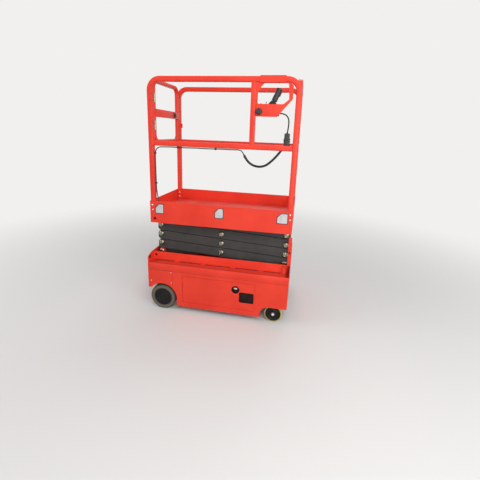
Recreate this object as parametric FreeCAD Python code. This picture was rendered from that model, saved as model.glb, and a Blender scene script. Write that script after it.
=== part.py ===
import FreeCAD, Part
import math
import os

# Small self-propelled scissor lift, parked with its platform down.
# Millimetres. +X runs to the steered, control-box end, -Y is the side with the control box,
# +Z is up. The origin lies on the ground under the middle of the machine.

# Shared by the whole machine
MACHINE_LENGTH = 1200.0
SHEET = 4.0
PLATE = 6.0
SEAT_GAP = 0.3
PIN_FIT = 0.05
PROUD = 1.0

# Scissor pack
LEVELS = 4
LIFT_TRAVEL = 45.0
FOLDED_PITCH = 83.6
PACK_END_ROOM = 45.0
PACK_MIDDLE_X = 5.7
BASE_PIVOT_Z = 485.4
ARM_DEPTH = 78.0
ARM_WIDTH = 30.0
ARM_WALL = 4.0
ARM_END = 28.0
ARM_CORNER = 26.0
ARM_SKEW = 1.2
ARM_GAP = 6.0
BOSS_WALL = 8.0
PIN_R = 18.0
PIN_HEAD_R = 22.0
PIN_HEAD = 10.0
PIN_HEAD_EDGE = 3.0
ROLLER_R = 27.0
ROLLER_WIDTH = 26.0
ROLLER_PLAY = 2.0
TUBE_R = 25.0
TUBE_PLACE = 0.12

# Lift cylinder
BARREL_FOOT = 0.86
ROD_EYE = 0.16
BARREL_R = 32.0
BARREL_BORE = 24.0
ROD_R = 17.0
EYE_R = 30.0
EYE_HALF = 36.0
EYE_BLEND = 4.0
EAR_R = 38.0
EAR_THICK = 12.0
EAR_GAP = 9.0
BARREL_END_WALL = 30.0
ROD_SHOWN = 122.4
ROD_END_FROM_FOOT = 177.4
GLAND_LENGTH = 40.0
COLLAR_LENGTH = 30.0
COLLAR_R = 37.0

# Chassis
CHASSIS_WIDTH = 780.0
CHASSIS_PAST_DECK = 8.0
SIDE_BAY = 162.0
PANEL_TOP = 433.0
SKIRT_BOTTOM = 48.0
SKIRT_ARCH_R = 75.0
SKIRT_TO_AXLE = 112.0
FRONT_SKIRT_BOTTOM = 147.0
REAR_SKIRT_BOTTOM = 200.0
REAR_SHOULDER_Z = 484.0
REAR_TOP_Z = 506.0
REAR_SHOULDER_WIDTH = 78.0
FRONT_TOP_Z = 500.0
END_HOLE_Y = 357.0
END_HOLE_Z = 473.0
END_HOLE_R = 12.0
TONGUE_TOP = 735.0
TONGUE_FROM_WALL = 6.0
TONGUE_WIDTH = 27.0
TONGUE_HOLE_Z = 602.0
TONGUE_HOLE_R = 8.0
WALL_GAP = 40.0
WALL_TOP = 497.0
WALL_HOLE_FROM_END = 28.0
WALL_HOLE_Z = 465.0
WALL_HOLE_R = 11.0
TROUGH_FLOOR = 425.0
FLOOR_Z = 182.0
LUG_HALF = 26.0
LUG_FOOT_HALF = 34.0
TRACK_LIP = 6.0
TRACK_SPARE = 10.0
SLOT_WIDTH = 12.0
SLOT_DEPTH = 8.0
TAB_LENGTH = 27.0
TAB_FROM_END = 31.0
TAB_TOP = 494.0
TAB_FROM_SIDE = 84.0
TAB_HOLE_R = 6.0

# Access doors, placed from the axles
DOOR_FROM_STEER_AXLE = 158.0
DOOR_FROM_DRIVE_AXLE = 182.0
DOOR_BOTTOM = 91.0
DOOR_TOP = 341.0
DOOR_GAP = 4.0
DOOR_THICK = 3.0
DOOR_CORNER = 12.0
LOCK_FROM_EDGE = 164.0
LOCK_Z = 272.0
LOCK_R = 34.0
WINDOW_FROM_EDGE = 8.0
WINDOW_LENGTH = 124.0
WINDOW_BOTTOM = 160.0
WINDOW_TOP = 254.0
DOOR_HINGE_HEIGHTS = (132.0, 290.0)
DOOR_HINGE_R = 3.5
DOOR_HINGE_PIN_R = 1.5
DOOR_HINGE_HALF = 20.0
HINGE_PLAY = 0.5
SWITCH_SETBACK = 14.0
SWITCH_MARGIN = 15.0
FLANGE_WIDTH = 16.0

# Bays behind the doors
BAY_FLOOR = 60.0
BAY_PAST_DOOR = 28.0
BATTERY_FROM_DOOR = 67.0
BATTERY_LENGTH = 350.0
BATTERY_TOP = 300.0
BATTERY_INSET = 30.0
BATTERY_WALL_GAP = 10.0
TANK_LENGTH = 190.0
PUMP_R = 32.0

# Wheels
DRIVE_FROM_END = 129.0
DRIVE_R = 115.0
DRIVE_HUB_R = 80.0
DRIVE_WIDTH = 80.0
DRIVE_INSET = 6.0
DRIVE_SHOULDER = 9.0
HUB_INSET = 4.0
BOSS_R = 24.0
BOSS_LENGTH = 8.0
MOTOR_R = 52.0
MOTOR_PLATE_HALF = 70.0
ARCH_GAP = 17.0
STEER_FROM_END = 112.0
STEER_R = 75.0
STEER_HUB_R = 63.0
STEER_WIDTH = 50.0
STEER_INSET = 34.0
STEER_SHOULDER = 4.0
AXLE_R = 10.0
NUT_R = 17.0
NUT_LENGTH = 9.0
KINGPIN_FROM_FACE = 82.0
KINGPIN_R = 12.0
KINGPIN_IN_BEAM = 5.0
BEAM_HALF = 35.0
BEAM_DEPTH = 10.0
BEAM_PAST_PIN = 22.0
SOCKET_WALL = 10.0
SOCKET_DEPTH = 20.0
CARRIER_HALF = 24.0
CARRIER_BELOW = 26.0

# Platform
PLATFORM_WIDTH = 646.0
DECK_OVER_PIN = 47.2
DECK_SHEET = 3.0
TOE_OVER_DECK = 99.0
TOE_UNDER_DECK = 90.0
TIE_HOLE_FROM_END = 39.0
TIE_HOLE_UNDER_DECK = 54.0
TIE_HOLE_R = 13.0
NOTCH_PAST_GLAND = 12.0

# Guard rails
RAIL_OVER_DECK = 1081.0
MID_RAIL_OVER_DECK = 577.0
RAIL_TUBE = 40.0
RAIL_CORNER = 7.0
RAIL_BEND = 85.0
CENTRE_POST_FROM_END = 353.0
STRIKER_DROP = 357.0
STRIKER_HALF = 18.0
STRIKER_THICK = 3.0
STRIKER_REACH = 24.0
POST_TAB_DROP = 335.0
POST_TAB_HEIGHT = 40.0
POST_TAB_REACH = 16.0
POST_TAB_THICK = 6.0

# Gate
GATE_TUBE = 32.0
GATE_BEND = 60.0
GATE_GAP = 14.0
GATE_LIFT = 8.0
GATE_PLATE_DROP = 236.0
GATE_PLATE_HEIGHT = 63.0
GATE_PLATE_THICK = 6.0
GATE_PLATE_LAP = 3.0
GATE_PLATE_MARGIN = 6.0
LATCH_LENGTH = 40.0
LATCH_FROM_EDGE = 99.0
LATCH_HEIGHT = 46.0
LATCH_THICK = 8.0
LATCH_CORNER = 6.0
HINGE_DROPS = (363.0, 153.0)
HINGE_LENGTH = 70.0
HINGE_BARREL_R = 8.0
HINGE_PIN_R = 4.0
HINGE_LEAF = 34.0
HINGE_STEP = 1.0
LEAF_INSET = 2.0

# Control station, placed from the centre post and the top rail
GUARD_FROM_POST = 21.0
GUARD_SETBACK = 10.0
GUARD_THICK = 4.0
GUARD_CORNER = 12.0
HOOK_ALONG = 25.0
HOOK_LENGTH = 186.0
HOOK_BACK = 38.0
BOX_ALONG = 6.0
BOX_LENGTH = 162.0
BOX_DROP = 151.0
BOX_HEIGHT = 80.0
BOX_DEPTH = 110.0
BOX_CORNER = 8.0
STOP_ALONG = 26.0
STOP_DROP = 204.0
STOP_R = 24.0
STOP_REACH = 22.0
STICK_ALONG = 116.0
STICK_LEAN = (51.5, 119.5)
STICK_BOOT_R = 33.0
STICK_BOOT_TOP_R = 15.0
STICK_BOOT_HEIGHT = 16.0
STICK_R = 9.0
GRIP_START = 0.226
GRIP_LENGTH = 100.0
GRIP_LOW_R = 19.0
GRIP_TOP_R = 21.0
PLUG_WIDTH = 44.0
PLUG_DEPTH = 38.0
PLUG_OVER_OUTLET = 14.0
PLUG_CORNER = 6.0

# Cables: routes as (x, y, z), from the end named first
CONTROL_CABLE_D = 10.0
CONDUIT_D = 19.0
POST_CABLE_D = 8.0
CABLE_GLAND_R = 9.0
CABLE_GLAND_LENGTH = 6.0
CONDUIT_GLAND_R = 13.0
CONTROL_CABLE = (
    (442.0, -284.0, 1695.0), (473.0, -283.0, 1694.0), (500.5, -278.5, 1679.0),
    (515.0, -271.0, 1652.0), (515.5, -264.0, 1605.0), (509.0, -260.0, 1558.0))
CONDUIT = (
    (481.0, -260.0, 1438.0), (447.0, -261.0, 1390.0), (400.0, -263.0, 1338.0),
    (355.0, -264.0, 1301.0), (300.0, -263.0, 1290.0), (246.0, -262.0, 1304.0),
    (204.0, -261.0, 1339.0), (184.0, -262.0, 1376.0))
POST_CABLE = (
    (184.0, -262.0, 1376.0), (168.0, -262.8, 1405.6), (145.0, -268.0, 1417.0),
    (97.0, -282.0, 1415.0), (10.0, -294.0, 1417.5), (-99.0, -292.0, 1414.5),
    (-206.0, -295.0, 1417.0), (-316.0, -293.0, 1414.0), (-404.0, -296.0, 1417.0),
    (-466.0, -294.0, 1415.0), (-514.0, -293.0, 1414.0), (-537.5, -292.0, 1400.0),
    (-550.5, -292.5, 1377.0), (-551.2, -294.0, 1317.0), (-549.6, -296.0, 1236.0),
    (-550.8, -293.0, 1152.0), (-549.4, -295.0, 1070.0), (-541.0, -297.0, 1012.0),
    (-529.0, -299.0, 960.0), (-521.0, -300.0, 920.0), (-519.0, -300.0, 882.0))
CLIP_LENGTH = 12.0
CLIP_HALF = 8.0
CLIP_DEPTH = 16.0
RAIL_CLIPS_X = (-46.0, -360.0)
POST_CLIPS_DROP = (87.0, 334.0)
DECK_GLAND_R = 11.0
DECK_GLAND_LENGTH = 18.0

V = FreeCAD.Vector
UP = V(0, 0, 1)
ALONG = V(1, 0, 0)
ACROSS = V(0, 1, 0)

HALF_LENGTH = MACHINE_LENGTH / 2
INSIDE_X = HALF_LENGTH - SHEET
CHASSIS_END = HALF_LENGTH + CHASSIS_PAST_DECK
CHASSIS_IN_X = CHASSIS_END - SHEET
PANEL_Y = CHASSIS_WIDTH / 2
PANEL_INSIDE_Y = PANEL_Y - SHEET
PACK_HALF_WIDTH = PANEL_Y - SIDE_BAY
WALL_Y = PACK_HALF_WIDTH + PIN_HEAD + WALL_GAP

ARM_SPAN = MACHINE_LENGTH - 2 * PACK_END_ROOM
FOLDED_ANGLE = math.asin(FOLDED_PITCH / ARM_SPAN)
HALF_SPAN = ARM_SPAN * math.cos(FOLDED_ANGLE) / 2
ROLLER_TRAVEL = 2 * HALF_SPAN - ARM_SPAN * math.cos(FOLDED_ANGLE + math.radians(LIFT_TRAVEL))
TRACK_START_X = PACK_MIDDLE_X + HALF_SPAN - ROLLER_TRAVEL - ROLLER_R - TRACK_SPARE
OUTER_Y = PACK_HALF_WIDTH - ARM_WIDTH
INNER_Y = OUTER_Y - ARM_GAP - ARM_WIDTH

HALF_WIDTH = PLATFORM_WIDTH / 2
DECK_TOP = BASE_PIVOT_Z + LEVELS * FOLDED_PITCH + DECK_OVER_PIN
DECK_UNDER = DECK_TOP - DECK_SHEET
POST_X = INSIDE_X - RAIL_TUBE / 2
RAIL_Y = HALF_WIDTH - SHEET - RAIL_TUBE / 2
RAIL_OUT_Y = RAIL_Y + RAIL_TUBE / 2
RAIL_IN_Y = RAIL_Y - RAIL_TUBE / 2
RAIL_TOP = DECK_TOP + RAIL_OVER_DECK
RAIL_Z = RAIL_TOP - RAIL_TUBE / 2
MID_RAIL_Z = DECK_TOP + MID_RAIL_OVER_DECK
CENTRE_POST_X = HALF_LENGTH - CENTRE_POST_FROM_END

DRIVE_X = -CHASSIS_END + DRIVE_FROM_END
DRIVE_FACE_Y = PANEL_Y - DRIVE_INSET
ARCH_R = DRIVE_R + ARCH_GAP
STEER_X = CHASSIS_END - STEER_FROM_END
STEER_FACE_Y = PANEL_Y - STEER_INSET
KINGPIN_Y = STEER_FACE_Y - KINGPIN_FROM_FACE
BEAM_TOP = FLOOR_Z - PLATE
SOCKET_BOTTOM = BEAM_TOP - BEAM_DEPTH - SOCKET_DEPTH
DOOR_RIGHT = STEER_X - DOOR_FROM_STEER_AXLE
DOOR_LEFT = DRIVE_X + DOOR_FROM_DRIVE_AXLE
DOOR_HINGE_X = DOOR_LEFT + DOOR_GAP / 2
BAY_REAR = DOOR_LEFT - BAY_PAST_DOOR / 2
BAY_FRONT = DOOR_RIGHT + BAY_PAST_DOOR

GUARD_LEFT = CENTRE_POST_X + GUARD_FROM_POST
GUARD_TOP = RAIL_TOP - RAIL_TUBE - SEAT_GAP
BOX_LEFT = GUARD_LEFT + BOX_ALONG
BOX_TOP = GUARD_TOP - BOX_DROP


def box(x0, x1, y0, y1, z0, z1):
    """A block between two corners."""
    return Part.makeBox(x1 - x0, y1 - y0, z1 - z0, V(x0, y0, z0))


def round_bar(x, z, radius, y0, y1):
    """A round bar along Y."""
    return Part.makeCylinder(radius, y1 - y0, V(x, y0, z), ACROSS)


def upright(x, y, radius, z0, z1):
    """A round bar along Z."""
    return Part.makeCylinder(radius, z1 - z0, V(x, y, z0), UP)


def side_plate(points, y0, y1):
    """A plate whose outline lies in XZ, from y0 to y1."""
    corners = [V(x, y0, z) for x, z in points]
    face = Part.Face(Part.makePolygon(corners + corners[:1]))
    return face.extrude(V(0, y1 - y0, 0))


def end_plate(points, x0, x1):
    """A plate whose outline lies in YZ, from x0 to x1."""
    corners = [V(x0, y, z) for y, z in points]
    face = Part.Face(Part.makePolygon(corners + corners[:1]))
    return face.extrude(V(x1 - x0, 0, 0))


def turned(x, z, profile):
    """A piece turned about a Y axis from (radius, y) points."""
    corners = [V(x + radius, y, z) for radius, y in profile]
    face = Part.Face(Part.makePolygon(corners + corners[:1]))
    return face.revolve(V(x, 0, z), ACROSS, 360)


def far(shape):
    """The same piece on the far side."""
    return shape.mirror(V(0, 0, 0), ACROSS)


def pair(shape):
    """A piece and its mirror image on the far side."""
    return [shape, far(shape)]


def fuse(shapes):
    """One solid from pieces that touch."""
    return shapes[0].multiFuse(shapes[1:]).removeSplitter()


def round_edges(shape, direction, radius):
    """Round the straight edges that run along a direction."""
    edges = []
    for edge in shape.Edges:
        if edge.Curve.TypeId != "Part::GeomLine":
            continue
        run = edge.tangentAt(edge.FirstParameter)
        if abs(abs(run.dot(direction)) - 1) < 1e-6:
            edges.append(edge)
    return shape.makeFillet(radius, edges)


def bent_path(corners, bend, closed=False):
    """A path of straight runs joined by arcs of one bend radius."""
    count = len(corners)
    arcs = []
    for index in range(count) if closed else range(1, count - 1):
        here = corners[index]
        into = (here - corners[index - 1]).normalize()
        out = (corners[(index + 1) % count] - here).normalize()
        trim = bend * math.tan(into.getAngle(out) / 2)
        bisector = (out - into).normalize()
        middle = here + bisector * (math.hypot(bend, trim) - bend)
        arcs.append((here - into * trim, middle, here + out * trim))
    starts = [arcs[-1][2] if closed else corners[0]] + [arc[2] for arc in arcs[:-1]]
    edges = []
    for start, arc in zip(starts, arcs):
        edges.append(Part.LineSegment(start, arc[0]).toShape())
        edges.append(Part.Arc(*arc).toShape())
    if not closed:
        edges.append(Part.LineSegment(arcs[-1][2], corners[-1]).toShape())
    return Part.Wire(edges)


def square_section(centre, along, side, size):
    """A square tube's outline with broken corners, set across the direction it is swept in."""
    lift = along.cross(side)
    half = size / 2
    flat = half - RAIL_CORNER
    points = []
    for a, b in ((half, flat), (flat, half), (-flat, half), (-half, flat),
                 (-half, -flat), (-flat, -half), (flat, -half), (half, -flat)):
        points.append(centre + side * a + lift * b)
    return Part.makePolygon(points + points[:1])


def tube_along(path, side, size):
    """A square tube swept along a path."""
    edge = path.Edges[0]
    start = edge.valueAt(edge.FirstParameter)
    along = edge.tangentAt(edge.FirstParameter)
    section = square_section(start, along, side, size)
    return Part.Solid(path.makePipeShell([section], True, False))


def straight_tube(start, end, side, size):
    """A straight square tube between two points."""
    section = square_section(start, (end - start).normalize(), side, size)
    return Part.Face(section).extrude(end - start)


def save(name, shapes):
    """Write one node's STEP file."""
    solids = [solid for shape in shapes for solid in shape.Solids]
    whole = solids[0] if len(solids) == 1 else Part.makeCompound(solids)
    for solid in solids:
        if not solid.isValid() or solid.Volume <= 0:
            raise ValueError("bad solid in " + name)
    whole.exportStep("parts/" + name + ".step")
    NODES.append((name, len(solids), whole.Volume))


NODES = []


def level_pin(side, level):
    """Pin place at the left, middle or right of a level; ends are counted from the bottom."""
    shift = {"left": -HALF_SPAN, "middle": 0.0, "right": HALF_SPAN}[side]
    return V(PACK_MIDDLE_X + shift, 0, BASE_PIVOT_Z + FOLDED_PITCH * level)


def arm_point(level, fraction):
    """A point on an inner arm, by its share of the span from the arm's lower left pin."""
    low = level_pin("left", level - 1)
    high = level_pin("right", level)
    return low + (high - low) * fraction


def arm(level, y0, rises_right):
    """One box-section scissor arm with bosses and pin holes."""
    middle = level_pin("middle", level - 0.5)
    half = ARM_SPAN / 2 + ARM_END
    depth = ARM_DEPTH / 2
    y1 = y0 + ARM_WIDTH
    blank = round_edges(box(-half, half, y0, y1, -depth, depth), ACROSS, ARM_CORNER)
    hollow = box(-half + ARM_CORNER, half - ARM_CORNER, y0 + ARM_WALL, y1 - ARM_WALL,
                 -depth + ARM_WALL, depth - ARM_WALL)
    tube = blank.cut(hollow)
    sign = 1 if rises_right else -1
    tube.rotate(V(0, 0, 0), ACROSS, -sign * (math.degrees(FOLDED_ANGLE) - ARM_SKEW))
    tube.translate(middle)
    low_side, high_side = ("left", "right") if rises_right else ("right", "left")
    places = [level_pin(low_side, level - 1), middle, level_pin(high_side, level)]
    bosses = [round_bar(p.x, p.z, PIN_R + BOSS_WALL, y0 + ARM_WALL / 2, y1 - ARM_WALL / 2)
              for p in places]
    tube = fuse([tube] + bosses)
    for p in places:
        tube = tube.cut(round_bar(p.x, p.z, PIN_R + PIN_FIT, y0 - PROUD, y1 + PROUD))
    return tube


def pin_head(place, y0, y1):
    """A pin head with a broken outer edge, from the arm at y0 out to y1."""
    outward = 1 if y1 > y0 else -1
    step = PIN_HEAD_EDGE * outward
    return turned(place.x, place.z, [(0, y0), (PIN_HEAD_R, y0), (PIN_HEAD_R, y1 - step),
                                     (PIN_HEAD_R - PIN_HEAD_EDGE, y1), (0, y1)])


def headed_shaft(place, roller_y=None):
    """A cross shaft with a head outside each outer arm, and rollers if it runs on a track."""
    reach = PACK_HALF_WIDTH + PIN_HEAD
    shank = PACK_HALF_WIDTH + PROUD
    pieces = [round_bar(place.x, place.z, PIN_R, -shank, shank)]
    pieces += pair(pin_head(place, -PACK_HALF_WIDTH, -reach))
    if roller_y is not None:
        pieces += pair(round_bar(place.x, place.z, ROLLER_R, roller_y, roller_y + ROLLER_WIDTH))
    return fuse(pieces)


def centre_stub(place):
    """A short centre pin that joins an outer arm to its inner arm."""
    reach = PACK_HALF_WIDTH + PIN_HEAD
    shank = round_bar(place.x, place.z, PIN_R, -PACK_HALF_WIDTH - PROUD, -INNER_Y)
    return fuse([shank, pin_head(place, -PACK_HALF_WIDTH, -reach)])


def ear_pair(place, with_pin):
    """Two short tubes that carry the ears of the cylinder, with or without its pin."""
    inside = EYE_HALF + EAR_GAP
    outside = inside + EAR_THICK
    stub = round_bar(place.x, place.z, TUBE_R, -INNER_Y, -outside + PROUD)
    ear = round_bar(place.x, place.z, EAR_R, -outside, -inside)
    near = fuse([stub, ear])
    if not with_pin:
        return pair(near)
    pin = round_bar(place.x, place.z, ROD_R, -outside + PROUD, outside - PROUD)
    return [fuse([near, far(near), pin])]


def build_scissor():
    for level in range(1, LEVELS + 1):
        save("outer_arms_%d" % level, pair(arm(level, -PACK_HALF_WIDTH, False)))
        save("inner_arms_%d" % level, pair(arm(level, -INNER_Y - ARM_WIDTH, True)))
        roller_y = INNER_Y + ROLLER_PLAY if level == 1 else None
        low = headed_shaft(level_pin("right", level - 1), roller_y)
        high = headed_shaft(level_pin("left", level))
        stub = centre_stub(level_pin("middle", level - 0.5))
        save("pins_%d" % level, [low, high] + pair(stub))
        ends = []
        for share in (TUBE_PLACE, 1 - TUBE_PLACE):
            place = arm_point(level, share)
            ends.append([round_bar(place.x, place.z, TUBE_R, -INNER_Y, INNER_Y)])
        if level == 1:
            ends[1] = ear_pair(arm_point(level, BARREL_FOOT), True)
        if level == 3:
            ends[0] = ear_pair(arm_point(level, ROD_EYE), False)
        save("cross_tubes_%d" % level, ends[0] + ends[1])
    save("base_shaft", [headed_shaft(level_pin("left", 0))])
    top = level_pin("right", LEVELS)
    inner = OUTER_Y + ROLLER_PLAY
    reach = inner + ROLLER_WIDTH
    shaft = round_bar(top.x, top.z, PIN_R, -reach, reach)
    roller = round_bar(top.x, top.z, ROLLER_R, inner, reach)
    save("top_roller_shaft", [fuse([shaft] + pair(roller))])


def build_cylinder():
    foot = arm_point(1, BARREL_FOOT)
    eye = arm_point(3, ROD_EYE)
    line = (eye - foot).normalize()
    span = (eye - foot).Length
    reach = span - ROD_SHOWN
    start = EYE_R - EYE_BLEND
    body = Part.makeCylinder(BARREL_R, reach - start, foot + line * start, line)
    collar = Part.makeCylinder(COLLAR_R, COLLAR_LENGTH, foot + line * (reach - COLLAR_LENGTH), line)
    barrel = fuse([body, collar, round_bar(foot.x, foot.z, EYE_R, -EYE_HALF, EYE_HALF)])
    bore_start = EYE_R + BARREL_END_WALL
    gland_start = reach - GLAND_LENGTH
    bore = Part.makeCylinder(BARREL_BORE, gland_start - bore_start, foot + line * bore_start, line)
    mouth = Part.makeCylinder(ROD_R + SEAT_GAP, GLAND_LENGTH + 2 * PROUD,
                              foot + line * (gland_start - PROUD), line)
    eye_bore = round_bar(foot.x, foot.z, ROD_R + PIN_FIT, -EYE_HALF - PROUD, EYE_HALF + PROUD)
    save("cylinder_barrel", [barrel.cut(bore).cut(mouth).cut(eye_bore)])
    rod = Part.makeCylinder(ROD_R, span - ROD_END_FROM_FOOT, foot + line * ROD_END_FROM_FOOT, line)
    head = round_bar(eye.x, eye.z, EYE_R, -EYE_HALF, EYE_HALF)
    pin_half = EYE_HALF + EAR_GAP - PROUD
    pin = round_bar(eye.x, eye.z, ROD_R, -pin_half, pin_half)
    save("cylinder_rod", [fuse([rod, head, pin])])


# Slots at the trough's inner edge, as distances of their ends from the steered end
TROUGH_SLOTS = ((75.0, 218.0), (265.0, 460.0), (509.0, 724.0), (770.0, 964.0), (1011.0, 1188.0))


def side_panel():
    """The outer skin of one side: arches, door opening, hinge knuckles, trough and its tab."""
    out = -PANEL_Y - PROUD
    back = -PANEL_INSIDE_Y + PROUD
    skirt_front = STEER_X - SKIRT_TO_AXLE
    panel = side_plate([(-CHASSIS_END, REAR_SKIRT_BOTTOM), (-CHASSIS_END, PANEL_TOP),
                        (CHASSIS_END, PANEL_TOP), (CHASSIS_END, SKIRT_BOTTOM),
                        (DRIVE_X, SKIRT_BOTTOM), (DRIVE_X, REAR_SKIRT_BOTTOM)],
                       -PANEL_Y, -PANEL_INSIDE_Y)
    steer_way = box(skirt_front, CHASSIS_END + 2 * SKIRT_ARCH_R, out, back,
                    SKIRT_BOTTOM - 2 * SKIRT_ARCH_R, FRONT_SKIRT_BOTTOM)
    panel = panel.cut(round_edges(steer_way, ACROSS, SKIRT_ARCH_R))
    panel = panel.cut(round_bar(DRIVE_X, DRIVE_R, ARCH_R, out, back))
    panel = panel.cut(box(DRIVE_X - ARCH_R, DRIVE_X + ARCH_R, out, back, 0, DRIVE_R))
    opening = box(DOOR_LEFT, DOOR_RIGHT, out, back, DOOR_BOTTOM, DOOR_TOP)
    panel = panel.cut(round_edges(opening, ACROSS, DOOR_CORNER))
    knuckles = []
    for height in DOOR_HINGE_HEIGHTS:
        low = height - DOOR_HINGE_HALF
        top = height + DOOR_HINGE_HALF
        middle = height - HINGE_PLAY
        panel = panel.cut(box(DOOR_HINGE_X - DOOR_HINGE_R - PROUD, DOOR_HINGE_X, out, back,
                              middle, top + PROUD))
        knuckles.append(upright(DOOR_HINGE_X, -PANEL_Y, DOOR_HINGE_R, low, middle))
        knuckles.append(upright(DOOR_HINGE_X, -PANEL_Y, DOOR_HINGE_PIN_R, low, top))
        knuckles.append(box(DOOR_HINGE_X - SHEET, DOOR_HINGE_X, -PANEL_Y,
                            -PANEL_Y + DOOR_THICK, low, middle))
    floor = box(-CHASSIS_IN_X, CHASSIS_IN_X, -PANEL_Y + SHEET / 2, -WALL_Y - SHEET,
                TROUGH_FLOOR - SHEET, TROUGH_FLOOR)
    for near_end, far_end in TROUGH_SLOTS:
        floor = floor.cut(box(CHASSIS_END - far_end, CHASSIS_END - near_end,
                              -WALL_Y - SHEET - SLOT_WIDTH, -WALL_Y, TROUGH_FLOOR - SLOT_DEPTH,
                              TROUGH_FLOOR + PROUD))
    tab_x = CHASSIS_END - TAB_FROM_END - TAB_LENGTH / 2
    tab_r = TAB_LENGTH / 2
    tab_y = -PANEL_Y + TAB_FROM_SIDE
    tab = fuse([box(tab_x - tab_r, tab_x + tab_r, tab_y, tab_y + PLATE, TROUGH_FLOOR - PROUD,
                    TAB_TOP - tab_r),
                round_bar(tab_x, TAB_TOP - tab_r, tab_r, tab_y, tab_y + PLATE)])
    tab = tab.cut(round_bar(tab_x, TAB_TOP - tab_r, TAB_HOLE_R, tab_y - PROUD,
                            tab_y + PLATE + PROUD))
    return fuse([panel, floor, tab] + knuckles)


def pivot_lug(pin, y0, y1, foot_z):
    """A tapered plate lug from a foot to a round head at a pin, with its bore."""
    foot_x = LUG_FOOT_HALF
    web = side_plate([(pin.x - foot_x, foot_z), (pin.x + foot_x, foot_z),
                      (pin.x + LUG_HALF, pin.z), (pin.x - LUG_HALF, pin.z)], y0, y1)
    lug = fuse([web, round_bar(pin.x, pin.z, LUG_HALF, y0, y1)])
    return lug.cut(round_bar(pin.x, pin.z, PIN_R + PIN_FIT, y0 - PROUD, y1 + PROUD))


def build_chassis_frame():
    """Walls, floor, roller tracks, pivot lugs, bays, motor plates and the steering beam."""
    wall_out = -WALL_Y - SHEET
    track_top = BASE_PIVOT_Z - ROLLER_R - SEAT_GAP
    track_out = -INNER_Y - ROLLER_PLAY - ROLLER_WIDTH - PROUD
    web_y = -INNER_Y + SHEET
    floor = box(-CHASSIS_IN_X, CHASSIS_IN_X, wall_out, -wall_out, BEAM_TOP, FLOOR_Z)
    beam = box(STEER_X - BEAM_HALF, STEER_X + BEAM_HALF, -KINGPIN_Y - BEAM_PAST_PIN,
               KINGPIN_Y + BEAM_PAST_PIN, BEAM_TOP - BEAM_DEPTH, BEAM_TOP)
    wall = box(-CHASSIS_IN_X, CHASSIS_IN_X, wall_out, -WALL_Y, BEAM_TOP, WALL_TOP)
    wall = wall.cut(round_bar(-CHASSIS_END + WALL_HOLE_FROM_END, WALL_HOLE_Z, WALL_HOLE_R,
                              wall_out - PROUD, -WALL_Y + PROUD))
    track = box(TRACK_START_X, CHASSIS_IN_X, track_out, web_y, track_top - PLATE, track_top)
    web = box(TRACK_START_X, CHASSIS_IN_X, -INNER_Y, web_y, FLOOR_Z - PROUD, track_top + TRACK_LIP)
    lug = pivot_lug(level_pin("left", 0), -PACK_HALF_WIDTH + ROLLER_PLAY, -OUTER_Y - ROLLER_PLAY,
                    FLOOR_Z - PROUD)
    socket = upright(STEER_X, -KINGPIN_Y, KINGPIN_R + SOCKET_WALL, SOCKET_BOTTOM, BEAM_TOP)
    bay_wall = box(BAY_REAR, BAY_FRONT, wall_out, -WALL_Y, BAY_FLOOR, FLOOR_Z)
    bay = box(BAY_REAR, BAY_FRONT, -PANEL_INSIDE_Y, -WALL_Y, BAY_FLOOR, BAY_FLOOR + SHEET)
    motor_plate = box(DRIVE_X - MOTOR_PLATE_HALF, DRIVE_X + MOTOR_PLATE_HALF, wall_out, -WALL_Y,
                      DRIVE_R - MOTOR_R, FLOOR_Z)
    near = [wall, track, web, lug, socket, bay_wall, bay, motor_plate]
    frame = fuse([floor, beam] + near + [far(piece) for piece in near])
    for side in (-1, 1):
        frame = frame.cut(upright(STEER_X, side * KINGPIN_Y, KINGPIN_R + PIN_FIT,
                                  SOCKET_BOTTOM - PROUD, BEAM_TOP - BEAM_DEPTH + KINGPIN_IN_BEAM))
    save("chassis_frame", [frame])


def build_end_plates():
    """The plates across both ends, between the side panels."""
    y = PANEL_INSIDE_Y
    top_y = PANEL_Y - REAR_SHOULDER_WIDTH
    rear = end_plate([(-y, REAR_SKIRT_BOTTOM), (-y, REAR_SHOULDER_Z),
                      (-top_y, REAR_TOP_Z), (top_y, REAR_TOP_Z),
                      (y, REAR_SHOULDER_Z), (y, REAR_SKIRT_BOTTOM), (WALL_Y, BEAM_TOP),
                      (-WALL_Y, BEAM_TOP)], -CHASSIS_END, -CHASSIS_IN_X)
    for side in (-1, 1):
        rear = rear.cut(Part.makeCylinder(END_HOLE_R, SHEET + 2 * PROUD,
                                          V(-CHASSIS_END - PROUD, side * END_HOLE_Y, END_HOLE_Z),
                                          ALONG))
    save("end_plate_left", [rear])
    front = end_plate([(-y, FRONT_SKIRT_BOTTOM), (-y, PANEL_TOP), (-WALL_Y, FRONT_TOP_Z),
                       (WALL_Y, FRONT_TOP_Z), (y, PANEL_TOP), (y, FRONT_SKIRT_BOTTOM)],
                      CHASSIS_IN_X, CHASSIS_END)
    tongue_y = -WALL_Y + TONGUE_FROM_WALL
    tongue = box(CHASSIS_END - TONGUE_WIDTH, CHASSIS_END, tongue_y, tongue_y + SHEET, PANEL_TOP,
                 TONGUE_TOP)
    tongue = round_edges(tongue, ACROSS, SHEET)
    hole = round_bar(CHASSIS_END - TONGUE_WIDTH / 2, TONGUE_HOLE_Z, TONGUE_HOLE_R,
                     tongue_y - PROUD, tongue_y + SHEET + PROUD)
    save("end_plate_right", [fuse([front, tongue]).cut(hole)])


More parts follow.
